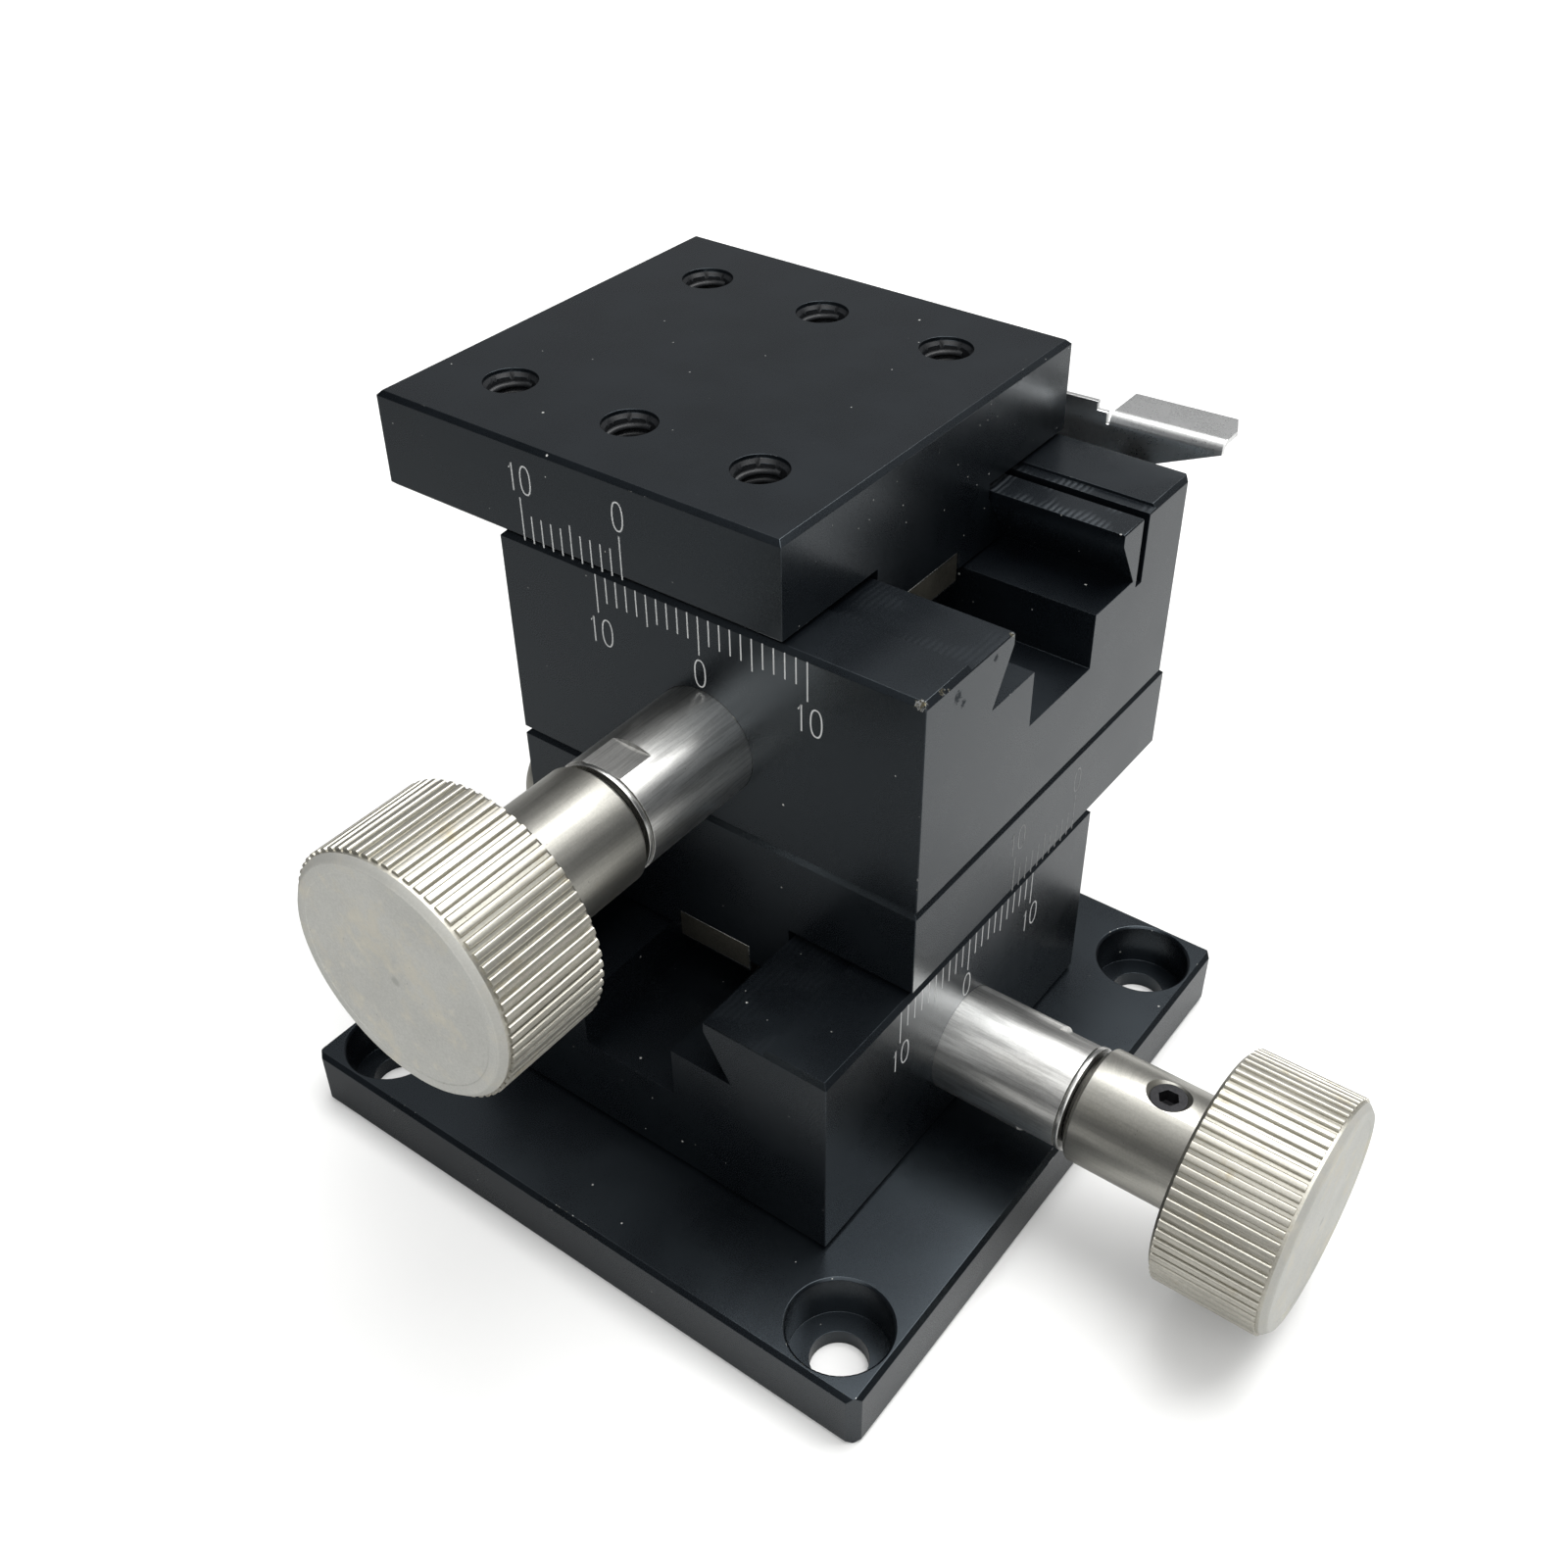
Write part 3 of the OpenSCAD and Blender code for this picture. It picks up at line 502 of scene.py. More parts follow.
def plain_metal(name, colour, deep, rough, metallic=1.0, grain_depth=0.001):
    """Small parts: one finish with a fine grain and cloudy colour."""
    material, tree, position = new_material(name)
    grain = place_group(tree, BLASTED, Position=position, Grain_Size=0.2, Depth=grain_depth)
    base = blend_colours(tree, ramp(tree, grain["Shade"], 0.3, 0.7), deep, colour)
    varied = ramp(tree, grain["Shade"], 0.2, 0.8, rough - 0.04, rough + 0.05)
    set_surface(tree, Base_Color=base, Metallic=metallic, Roughness=varied, Normal=grain["Normal"])
    return material


def scale_paint(name, pale, wear):
    """Pale filling of the engraved lines, thin in places."""
    material, tree, position = new_material(name)
    worn = place_group(tree, STAIN, Position=position, Size=0.5, Amount=wear)["Stain"]
    colour = blend_colours(tree, worn, pale, WORN_PAINT_SHADE)
    set_surface(tree, Base_Color=colour, Roughness=PAINT_ROUGHNESS)
    return material


BLACK = black_anodised("black anodised", DYE_DARK, DYE_LIGHT, 0.0)
BLACK_EDGE = black_anodised("black anodised edge", EDGE_DARK, EDGE_LIGHT, 0.36)
BLACK_MILLED = black_anodised("black milled strip", DYE_DARK, DYE_LIGHT, 0.0, 0.004)
BLACK_CHATTER = black_anodised("black chattered strip", DYE_DARK, DYE_LIGHT, 0.0, 0.028)
NICKEL = satin_metal(
    "satin nickel", ((0.55, 0.54, 0.495), (0.44, 0.43, 0.39), (0.46, 0.40, 0.27)),
    rough=0.34, stain=0.42, lines=0.0006, grain=0.0016, streak=0.16,
)
RIDGE_FINISH = satin_metal(
    "knurled nickel", ((0.54, 0.525, 0.465), (0.42, 0.405, 0.355), (0.38, 0.325, 0.21)),
    rough=0.46, stain=0.50, lines=0.0002, grain=0.0018, streak=0.16,
)
KNOB_FACE = satin_metal(
    "turned knob face", ((0.58, 0.58, 0.545), (0.46, 0.46, 0.43), (0.60, 0.565, 0.47)),
    rough=0.58, stain=0.75, lines=0.0014, grain=0.0008, metallic=0.40, faced=True,
)
SLEEVE_STEEL = satin_metal(
    "drawn sleeve steel", ((0.84, 0.835, 0.81), (0.72, 0.715, 0.69), (0.42, 0.40, 0.35)),
    rough=0.30, stain=0.32, lines=0.0, grain=0.0005, streak=0.30,
)
TURNED_STEEL = satin_metal(
    "turned steel", ((0.60, 0.60, 0.585), (0.50, 0.50, 0.48), (0.42, 0.40, 0.35)),
    rough=0.27, stain=0.15, lines=0.0010, grain=0.0005,
)
RACK_STEEL = plain_metal("rack steel", (0.24, 0.225, 0.185), (0.13, 0.12, 0.10), 0.42)
# Bright steel colour for the rack's broken end edges: a painted highlight
RACK_EDGE_HIGHLIGHT = plain_metal("steel edge painted highlight", (0.80, 0.79, 0.76), (0.62, 0.61, 0.58), 0.25)
SHEET = plain_metal("polished sheet", (0.90, 0.905, 0.90), (0.84, 0.845, 0.84), 0.29, 1.0, 0.0001)
DARK_WASHER = plain_metal("dark spring washer", (0.06, 0.058, 0.052), (0.03, 0.03, 0.028), 0.45)
SCREW = plain_metal("blackened screw", (0.05, 0.05, 0.052), (0.022, 0.022, 0.024), 0.36, 0.85)
BRASS = plain_metal("brass", (0.72, 0.55, 0.26), (0.60, 0.45, 0.20), 0.3)
HOLE_WALL = plain_metal("dark hole wall", (0.011, 0.012, 0.014), (0.004, 0.005, 0.006), 0.50, 0.0)
PAINT = scale_paint("scale paint", (0.50, 0.51, 0.51), 0.25)
WORN_PAINT = scale_paint("worn scale paint", (0.20, 0.205, 0.205), 0.75)


# Meshes

def add_object(name, data):
    thing = bpy.data.objects.new(name, data)
    bpy.context.scene.collection.objects.link(thing)
    return thing


def new_piece(name, mesh, materials):
    piece = add_object(name, mesh)
    for material in materials:
        mesh.materials.append(material)
    return piece


def settle(piece):
    """Turns a piece's modifiers into plain mesh."""
    graph = bpy.context.evaluated_depsgraph_get()
    mesh = bpy.data.meshes.new_from_object(
        piece.evaluated_get(graph), preserve_all_data_layers=True, depsgraph=graph,
    )
    piece.modifiers.clear()
    piece.data = mesh
    return piece


def hand_over(piece, body, slot, *nodes):
    """Says which body a piece rides on and hides the CAD nodes that it replaces. The slot is not used.
    """
    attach(piece, body)
    if nodes:
        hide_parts(*nodes)


def soften(piece, width, edge_slot, sharp):
    """Breaks the sharp edges and keeps the flats flat."""
    bevel = piece.modifiers.new("edge break", "BEVEL")
    bevel.width = width * MM
    bevel.segments = 2
    bevel.limit_method = "ANGLE"
    bevel.angle_limit = math.radians(sharp)
    bevel.use_clamp_overlap = True
    bevel.material = edge_slot
    bevel.miter_outer = "MITER_ARC"
    weighted = piece.modifiers.new("flat faces", "WEIGHTED_NORMAL")
    weighted.keep_sharp = True
    weighted.weight = 60
    return settle(piece)


def merged_copy(node):
    """A copy of a CAD node's mesh with its triangles joined into whole faces."""
    work = bmesh.new()
    work.from_mesh(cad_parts[node].data)
    bmesh.ops.remove_doubles(work, verts=work.verts, dist=WELD * MM)
    bmesh.ops.dissolve_limit(
        work, angle_limit=math.radians(FLAT_ANGLE), verts=work.verts, edges=work.edges,
    )
    for face in work.faces:
        face.smooth = True
        face.material_index = 0
    return work


def to_mesh(work, name):
    mesh = bpy.data.meshes.new(name)
    work.to_mesh(mesh)
    work.free()
    return mesh


def shade_round(piece, axis):
    """Gives the outer turned surface the exact normals of a cylinder about the axis."""
    mesh = piece.data
    back = axis.inverted()
    turn = axis.to_3x3().normalized()
    places = [back @ vert.co for vert in mesh.vertices]
    radius = max(math.hypot(place.x, place.y) for place in places)
    normals = [Vector(corner.vector) for corner in mesh.corner_normals]
    for face in mesh.polygons:
        corners = [(i, places[mesh.loops[i].vertex_index]) for i in face.loop_indices]
        spots = [place for i, place in corners] + [back @ face.center]
        if all(radius - math.hypot(spot.x, spot.y) < NEAR for spot in spots):
            for i, place in corners:
                normals[i] = (turn @ Vector((place.x, place.y, 0))).normalized()
    mesh.normals_split_custom_set(normals)


def dress(
    node, body, slot, materials, width=EDGE_BREAK, work=None, sharp=SHARP_ANGLE, edge_slot=None,
    axis=None,
):
    """Replaces a CAD node with a copy that has broken edges and its real finish."""
    mesh = to_mesh(work or merged_copy(node), node + "_dressed")
    edge_slot = min(1, len(materials) - 1) if edge_slot is None else edge_slot
    piece = soften(new_piece(node + "_dressed", mesh, materials), width, edge_slot, sharp)
    if axis:
        shade_round(piece, axis)
    hand_over(piece, body, slot, node)


def axis_frame(start, outward, up=(0, 0, 1)):
    """Places local Z along outward from start, with local X level."""
    z = Vector(outward).normalized()
    x = Vector(up).cross(z).normalized()
    y = z.cross(x)
    turn = Matrix((x, y, z)).transposed().to_4x4()
    return Matrix.Translation(Vector(start) * MM) @ turn @ Matrix.Scale(MM, 4)


def lathe(work, profile, steps=ROUND_STEPS):
    """Turns a profile of (along, radius) points, which starts and ends on the axis, round Z."""
    rings = []
    for along, radius in profile:
        if radius == 0:
            rings.append([work.verts.new((0, 0, along))])
        else:
            rings.append([
                work.verts.new((radius * math.cos(a), radius * math.sin(a), along))
                for a in (2 * math.pi * i / steps for i in range(steps))
            ])
    for lower, upper in zip(rings, rings[1:]):
        for i in range(steps):
            corners = [lower[i % len(lower)], lower[(i + 1) % len(lower)],
                       upper[(i + 1) % len(upper)], upper[i % len(upper)]]
            unique = list(dict.fromkeys(corners))
            if len(unique) > 2:
                work.faces.new(unique)
    return work


def round_corners(profile, size):
    """Cuts each corner of a profile by a small amount, in two steps, so that edges catch the light."""
    points = [profile[0]]
    for before, here, after in zip(profile, profile[1:], profile[2:]):
        corner = Vector(here)
        back, ahead = Vector(before) - corner, Vector(after) - corner
        cut = min(size, back.length * 0.4, ahead.length * 0.4)
        first, last = corner + back.normalized() * cut, corner + ahead.normalized() * cut
        middle = (first + last) / 4 + corner / 2
        points.extend([tuple(first), tuple(middle), tuple(last)])
    return points + [profile[-1]]


def store_turned(work, place=Matrix()):
    """Stores for every point its radius, its distance along the axis and its arc, for turning lines."""
    layer = work.verts.layers.float_vector.new("turned")
    back = place.inverted()
    for vert in work.verts:
        here = back @ vert.co
        radius = math.hypot(here.x, here.y)
        angle = math.atan2(here.y, here.x)
        vert[layer] = Vector((radius * MM, here.z * MM, abs(angle) * radius * MM))
    return work


def finish_turned(work, name, place, materials, end_from, head_outside):
    """Stores how each point lies on the turned shape, then puts the mesh in its place.

    Faces beyond end_from along the axis take the second finish, the rest outside a radius the third.
    """
    for face in work.faces:
        middle = face.calc_center_median()
        if middle.z > end_from:
            face.material_index = 1
        else:
            face.material_index = 2 if math.hypot(middle.x, middle.y) > head_outside else 0
    bmesh.ops.recalc_face_normals(work, faces=work.faces)
    store_turned(work)
    for face in work.faces:
        face.smooth = True
    bmesh.ops.transform(work, matrix=place, verts=work.verts)
    mesh = to_mesh(work, name)
    mesh.set_sharp_from_angle(angle=math.radians(SHARP_ANGLE))
    return new_piece(name, mesh, materials)


# Geometry node trees

def geometry_tree(name, inputs):
    """A geometry node tree with an empty geometry input, the given inputs and a geometry output."""
    tree = bpy.data.node_groups.new(name, "GeometryNodeTree")
    tree.interface.new_socket("Geometry", in_out="INPUT", socket_type="NodeSocketGeometry")
    for kind, label, value in inputs:
        tree.interface.new_socket(label, in_out="INPUT", socket_type=kind).default_value = value
    tree.interface.new_socket("Material", in_out="INPUT", socket_type="NodeSocketMaterial")
    tree.interface.new_socket("Geometry", in_out="OUTPUT", socket_type="NodeSocketGeometry")
    return tree, tree.nodes.new("NodeGroupInput").outputs


def close_tree(tree, geometry, given):
    whole = made(tree, "GeometryNodeRealizeInstances", {"Geometry": geometry})
    painted = put(tree, "GeometryNodeSetMaterial", {"Geometry": whole, "Material": given["Material"]})
    out = tree.nodes.new("NodeGroupOutput")
    tree.links.new(painted.outputs[0], out.inputs["Geometry"])
    return tree


def mesh_from_tree(tree, material, **values):
    """Runs a geometry node tree once and gives its mesh."""
    holder = add_object("maker", bpy.data.meshes.new("maker"))
    modifier = holder.modifiers.new("maker", "NODES")
    modifier.node_group = tree
    named = {item.name: item.identifier for item in tree.interface.items_tree if item.in_out == "INPUT"}
    for label, value in values.items():
        modifier[named[label.replace("_", " ")]] = value
    modifier[named["Material"]] = material
    settle(holder)
    mesh = holder.data
    bpy.data.objects.remove(holder)
    return mesh


def knurl_tree():
    """Straight ridges, evenly round a core, each a rounded bar."""
    tree, given = geometry_tree("straight knurl", [
        (INTEGER, "Ridges", 60), (FLOAT, "Core Radius", 9.6), (FLOAT, "Start", 0.0),
        (FLOAT, "Length", 8.0), (FLOAT, "Base Width", 0.8), (FLOAT, "Top Width", 0.4),
        (FLOAT, "Height", 0.4), (FLOAT, "Rounding", 0.08),
    ])
    bar = made(
        tree, "GeometryNodeCurvePrimitiveQuadrilateral",
        {"Bottom Width": given["Base Width"], "Top Width": given["Top Width"],
         "Height": given["Height"], "Offset": 0.0},
        mode="TRAPEZOID",
    )
    rounded = made(
        tree, "GeometryNodeFilletCurve",
        {"Curve": bar, "Radius": given["Rounding"], "Count": 2}, mode="POLY",
    )
    standing = made(
        tree, "GeometryNodeTransform",
        {"Geometry": rounded, "Rotation": (0.0, 0.0, -math.pi / 2),
         "Translation": combine(tree, X=times(tree, given["Height"], 0.5))},
    )
    flat = made(tree, "GeometryNodeFillCurve", {"Curve": standing}, mode="NGONS")
    pull = combine(tree, Z=given["Length"])
    pulled = put(
        tree, "GeometryNodeExtrudeMesh", {"Mesh": flat, "Offset": pull, "Individual": False},
    ).outputs["Mesh"]
    closed = tree.nodes.new("GeometryNodeJoinGeometry")
    tree.links.new(pulled, closed.inputs[0])
    tree.links.new(made(tree, "GeometryNodeFlipFaces", {"Mesh": flat}), closed.inputs[0])
    ridge = made(
        tree, "GeometryNodeMergeByDistance", {"Geometry": closed.outputs[0], "Distance": 0.001},
    )
    ring = made(
        tree, "GeometryNodeMeshCircle", {"Vertices": given["Ridges"], "Radius": given["Core Radius"]},
    )
    raised = made(
        tree, "GeometryNodeTransform",
        {"Geometry": ring, "Translation": combine(tree, Z=given["Start"])},
    )
    number = tree.nodes.new("GeometryNodeInputIndex").outputs[0]
    angle = maths(tree, "DIVIDE", times(tree, number, 2 * math.pi), given["Ridges"])
    placed = made(
        tree, "GeometryNodeInstanceOnPoints",
        {"Points": raised, "Instance": ridge, "Rotation": combine(tree, Z=angle)},
    )
    return close_tree(tree, placed, given)


def thread_tree():
    """A thread ridge that winds down the wall of a tapped hole."""
    tree, given = geometry_tree("thread", [
        (FLOAT, "Turns", 10.0), (FLOAT, "Radius", 2.0), (FLOAT, "Depth", 7.0), (FLOAT, "Ridge", 0.35),
        (INTEGER, "Steps", 40),
    ])
    winding = made(
        tree, "GeometryNodeCurveSpiral",
        {"Resolution": given["Steps"], "Rotations": given["Turns"], "Start Radius": given["Radius"],
         "End Radius": given["Radius"], "Height": given["Depth"]},
    )
    upright = made(tree, "GeometryNodeSetCurveNormal", {"Curve": winding}, mode="Z_UP")
    ridge = made(
        tree, "GeometryNodeCurvePrimitiveCircle",
        {"Resolution": 4, "Radius": given["Ridge"]}, mode="RADIUS",
    )
    swept = made(
        tree, "GeometryNodeCurveToMesh", {"Curve": upright, "Profile Curve": ridge, "Fill Caps": True},
    )
    return close_tree(tree, swept, given)


def scale_tree():
    """Engraved marks in a row: each fifth one longer, each tenth one longest, all from the same line."""
    tree, given = geometry_tree("scale marks", [
        (INTEGER, "Marks", 11), (FLOAT, "Pitch", 1.0), (FLOAT, "Short", 2.0), (FLOAT, "Middle", 2.5),
        (FLOAT, "Long", 3.0), (FLOAT, "Line Width", 0.2), (FLOAT, "Thickness", 0.03),
    ])
    row = made(
        tree, "GeometryNodeMeshLine",
        {"Count": given["Marks"], "Offset": combine(tree, X=given["Pitch"])}, mode="OFFSET",
    )
    number = tree.nodes.new("GeometryNodeInputIndex").outputs[0]
    length = given["Short"]
    for every, shorter, longer in ((5.0, "Short", "Middle"), (10.0, "Middle", "Long")):
        off = maths(tree, "MINIMUM", maths(tree, "MODULO", number, every), 1.0)
        extra = maths(tree, "SUBTRACT", given[longer], given[shorter])
        length = plus(tree, length, times(tree, maths(tree, "SUBTRACT", 1.0, off), extra))
    lowered = combine(tree, Y=times(tree, length, -0.5))
    moved = made(tree, "GeometryNodeSetPosition", {"Geometry": row, "Offset": lowered})
    size = combine(tree, X=given["Line Width"], Y=length, Z=given["Thickness"])
    block = made(tree, "GeometryNodeMeshCube", {"Size": (1.0, 1.0, 1.0)})
    placed = made(
        tree, "GeometryNodeInstanceOnPoints", {"Points": moved, "Instance": block, "Scale": size},
    )
    return close_tree(tree, placed, given)


KNURL = knurl_tree()
THREAD = thread_tree()
SCALE = scale_tree()


# Black blocks and plates

BLOCK_FINISH = (BLACK, BLACK_EDGE)


def tighten_uprights(work, low, high):
    """Narrows the small chamfers of upright edges to the thin line that the real blocks show."""
    wide, narrow = UPRIGHT_CHAMFER * MM, UPRIGHT_LINE * MM
    near = NEAR * MM
    lift = (wide - narrow) / 2
    middle = (low + high) / 2
    for vert in work.verts:
        spot = vert.co
        corner_x, inward_x = (low.x, 1) if spot.x < middle.x else (high.x, -1)
        corner_y, inward_y = (low.y, 1) if spot.y < middle.y else (high.y, -1)
        dx, dy = abs(spot.x - corner_x), abs(spot.y - corner_y)
        if abs(dx - wide) < near and dy < near:
            spot.x = corner_x + inward_x * narrow
        elif abs(dy - wide) < near and dx < near:
            spot.y = corner_y + inward_y * narrow
        elif abs(dx - wide / 2) < near and abs(dy - wide / 2) < near:
            spot.x = corner_x + inward_x * narrow / 2
            spot.y = corner_y + inward_y * narrow / 2
            spot.z += lift if spot.z < middle.z else -lift


def plate_copy(node):
    """A merged copy of a block or plate with its thin upright edges."""
    work = merged_copy(node)
    tighten_uprights(work, *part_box(node))
    return work


dress("base_plate", "base", "black_anodised", BLOCK_FINISH)
dress("lower_table", "carriage", "black_anodised", BLOCK_FINISH, work=plate_copy("lower_table"))


def strip_faces(work, level, finish_slot, chatter_slot):
    """Gives the lowered strips beside the way a milled finish, the gib's narrow one with chatter."""
    for face in work.faces:
        height = face.calc_center_median().z
        if face.normal.z > LEVEL and abs(height - level) < NEAR * MM:
            across = zip(*(vert.co.xy for vert in face.verts))
            narrow = min(max(places) - min(places) for places in across) < GIB_STRIP_WIDTH * MM
            face.material_index = chatter_slot if narrow else finish_slot


def dress_block(node, body):
    work = plate_copy(node)
    strip_faces(work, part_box(node)[1].z - RELIEF * MM, 2, 3)
    dress(node, body, "black_anodised", (BLACK, BLACK_EDGE, BLACK_MILLED, BLACK_CHATTER), work=work)


dress_block("lower_body", "base")
dress_block("upper_body", "carriage")


def dress_top_table():
    """The top table with its tapped holes opened to the thread's full size, and the threads in them."""
    low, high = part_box("top_table")
    middle = (low + high) / 2
    holes = [(middle.x + x * MM, middle.y + y * MM) for x in TAPPED_COLUMNS for y in TAPPED_ROWS]
    work = plate_copy("top_table")
    for x, y in holes:
        for vert in work.verts:
            away = Vector((vert.co.x - x, vert.co.y - y))
            if abs(away.length - HOLE_RADIUS * MM) < HOLE_WITHIN * MM:
                away = away.normalized() * THREAD_RADIUS * MM
            elif abs(away.length - HOLE_RIM_RADIUS * MM) < RIM_WITHIN * MM:
                away = away.normalized() * SEEN_RIM_RADIUS * MM
            else:
                continue
            vert.co.x, vert.co.y = x + away.x, y + away.y
        for face in work.faces:
            centre = face.calc_center_median()
            inside = math.hypot(centre.x - x, centre.y - y) < (SEEN_RIM_RADIUS - NEAR) * MM
            if inside and abs(face.normal.z) < LEVEL:
                face.material_index = 2
    dress("top_table", "table", "black_anodised", (BLACK, BLACK_EDGE, HOLE_WALL), work=work)
    depth = PLATE_THICKNESS - THREAD_SHORT_BY
    thread = mesh_from_tree(
        THREAD, HOLE_WALL, Turns=depth / THREAD_PITCH, Radius=THREAD_RADIUS + THREAD_BITE, Depth=depth,
        Ridge=THREAD_PITCH / 2 - THREAD_ROOT, Steps=THREAD_STEPS,
    )
    threads = bmesh.new()
    start = high.z - (PLATE_THICKNESS - THREAD_FROM) * MM
    for x, y in holes:
        single = thread.copy()
        single.transform(Matrix.Translation((x, y, start)) @ Matrix.Scale(MM, 4))
        threads.from_mesh(single)
        bpy.data.meshes.remove(single)
    bmesh.ops.recalc_face_normals(threads, faces=threads.faces)
    piece = new_piece("table_threads", to_mesh(threads, "table_threads"), [HOLE_WALL])
    hand_over(piece, "table", "black_anodised")


dress_top_table()


# Knobs, sleeves and washers

def knob_axis(side):
    """Where the knob axis leaves the rail block's face, and its outward direction."""
    knob_low, knob_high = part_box(side + "_knob")
    middle = (knob_low + knob_high) / 2 / MM
    body_low, body_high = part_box(side + "_body")
    if side == "upper":
        return axis_frame((middle.x, body_low.y / MM, middle.z), (0, -1, 0))
    return axis_frame((body_high.x / MM, middle.y, middle.z), (1, 0, 0))


def knob_profile():
    head_start = HUB_START + HUB_LENGTH
    knob_end = head_start + HEAD_LENGTH
    core = HEAD_RADIUS - RIDGE_HEIGHT
    outline = [
        (HUB_START, SHAFT_RADIUS), (HUB_START, HUB_RADIUS - BACK_CHAMFER),
        (HUB_START + BACK_CHAMFER, HUB_RADIUS), (head_start, HUB_RADIUS),
        (head_start, core - BACK_CHAMFER), (head_start + BACK_CHAMFER, core),
        (knob_end - FRONT_CHAMFER, core), (knob_end, core - FRONT_CHAMFER),
        (knob_end, FACE_DISH_RADIUS), (knob_end - FACE_DISH, FACE_DISH_RADIUS - FACE_DISH),
        (knob_end - FACE_DISH, 0),
    ]
    rounded = round_corners(outline, PROFILE_ROUNDING)
    return [(HUB_START + KNOB_BORE_DEPTH, 0), (HUB_START + KNOB_BORE_DEPTH, SHAFT_RADIUS)] + rounded


def sink_set_screw(piece, side):
    """Cuts the set screw's threaded hole and its cup into the hub, where the CAD screw sits."""
    low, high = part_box(side + "_knob_screw")
    middle = (low + high) / 2
    axis = knob_axis(side)
    start = axis @ Vector((0, 0, HUB_START + SET_SCREW_AT))
    away = (middle - start).normalized()
    rim = HUB_RADIUS - (SET_RIM_RADIUS - SET_HOLE_RADIUS)
    end = HUB_RADIUS + SET_CUTTER_PAST
    cutter = lathe(bmesh.new(), [
        (0, 0), (0, SET_HOLE_RADIUS), (rim, SET_HOLE_RADIUS),
        (end, SET_RIM_RADIUS + SET_CUTTER_PAST), (end, 0),
    ], SET_STEPS)
    bmesh.ops.recalc_face_normals(cutter, faces=cutter.faces)
    up = (0, 0, 1) if abs(away.z) < 0.9 else (1, 0, 0)
    bmesh.ops.transform(cutter, matrix=axis_frame(start / MM, away, up), verts=cutter.verts)
    tool = new_piece("cup_cutter", to_mesh(cutter, "cup_cutter"), [NICKEL])
    cut = piece.modifiers.new("set screw cup", "BOOLEAN")
    cut.operation = "DIFFERENCE"
    cut.object = tool
    settle(piece)
    bpy.data.objects.remove(tool)


def make_knob(side, body):
    work = lathe(bmesh.new(), knob_profile())
    ridges = mesh_from_tree(
        KNURL, NICKEL, Ridges=RIDGES, Core_Radius=HEAD_RADIUS - RIDGE_HEIGHT - RIDGE_ROOT,
        Start=HUB_START + HUB_LENGTH + RIDGE_BACK_GAP,
        Length=HEAD_LENGTH - RIDGE_BACK_GAP - RIDGE_FRONT_GAP,
        Base_Width=RIDGE_BASE, Top_Width=RIDGE_TOP, Height=RIDGE_HEIGHT + RIDGE_ROOT,
        Rounding=RIDGE_ROUNDING,
    )
    work.from_mesh(ridges)
    face_from = HUB_START + HUB_LENGTH + HEAD_LENGTH - FRONT_CHAMFER - NEAR
    finishes = [NICKEL, KNOB_FACE, RIDGE_FINISH]
    piece = finish_turned(work, side + "_knob_dressed", knob_axis(side), finishes, face_from, HUB_RADIUS)
    sink_set_screw(piece, side)
    hand_over(piece, body, "knob_nickel", side + "_knob")


def rack_copy(node):
    """The rack with broken edges round its end faces, coloured bright as a painted highlight."""
    work = merged_copy(node)
    least, most = (area * MM ** 2 for area in RACK_END_AREA)
    ends = [
        face for face in work.faces if abs(face.normal.z) < SIDEWAYS and least < face.calc_area() < most
    ]
    bmesh.ops.bevel(
        work, geom=list({edge for face in ends for edge in face.edges}), offset=RACK_EDGE_BREAK * MM,
        offset_type="OFFSET", segments=1, profile=0.5, affect="EDGES", clamp_overlap=True, material=1,
    )
    return work


for side in ("upper", "lower"):
    make_knob(side, side + "_knob_set")

for side, fixed, moving in (("upper", "carriage", "table"), ("lower", "base", "carriage")):
    turning, clamp = side + "_knob_set", side + "_clamp"
    axis = knob_axis(side)
    sleeve = store_turned(merged_copy(side + "_sleeve"), axis)
    dress(
        side + "_sleeve", fixed, "sleeve_steel", (SLEEVE_STEEL,), FINE_EDGE_BREAK, sleeve,
        SLEEVE_SHARP_ANGLE, axis=axis,
    )
    washers = store_turned(merged_copy(side + "_washers"), axis)
    inward = axis.inverted()
    for face in washers.faces:
        face.material_index = int((inward @ face.calc_center_median()).z > SPRING_WASHER_FROM)
    dress(
        side + "_washers", turning, "turned_steel", (TURNED_STEEL, DARK_WASHER), FINE_EDGE_BREAK,
        washers, edge_slot=-1,
    )
    for ending, body, slot, materials in (
        ("_pinion_shaft", turning, "turned_steel", (TURNED_STEEL,)),
        ("_knob_screw", turning, "screw_black", (SCREW,)),
        ("_bush", fixed, "brass", (BRASS,)),
        ("_gib_screws", fixed, "screw_black", (SCREW,)),
        ("_clamp_pad", fixed, "brass", (BRASS,)),
        ("_stop_pin", fixed, "turned_steel", (TURNED_STEEL,)),
        ("_rack", moving, "turned_steel", (RACK_STEEL, RACK_EDGE_HIGHLIGHT)),
        ("_rack_screws", moving, "screw_black", (SCREW,)),
        ("_clamp_lever", clamp, "polished_steel", (SHEET,)),
        ("_clamp_screw", clamp, "knob_nickel", (NICKEL,)),
        ("_clamp_spacer", fixed, "turned_steel", (TURNED_STEEL,)),
    ):
        work = rack_copy(side + ending) if ending == "_rack" else None
        dress(side + ending, body, slot, materials, FINE_EDGE_BREAK, work)

dress("base_screws", "base", "screw_black", (SCREW,), FINE_EDGE_BREAK)
dress("joining_screws", "carriage", "screw_black", (SCREW,), FINE_EDGE_BREAK)


# Engraved scales

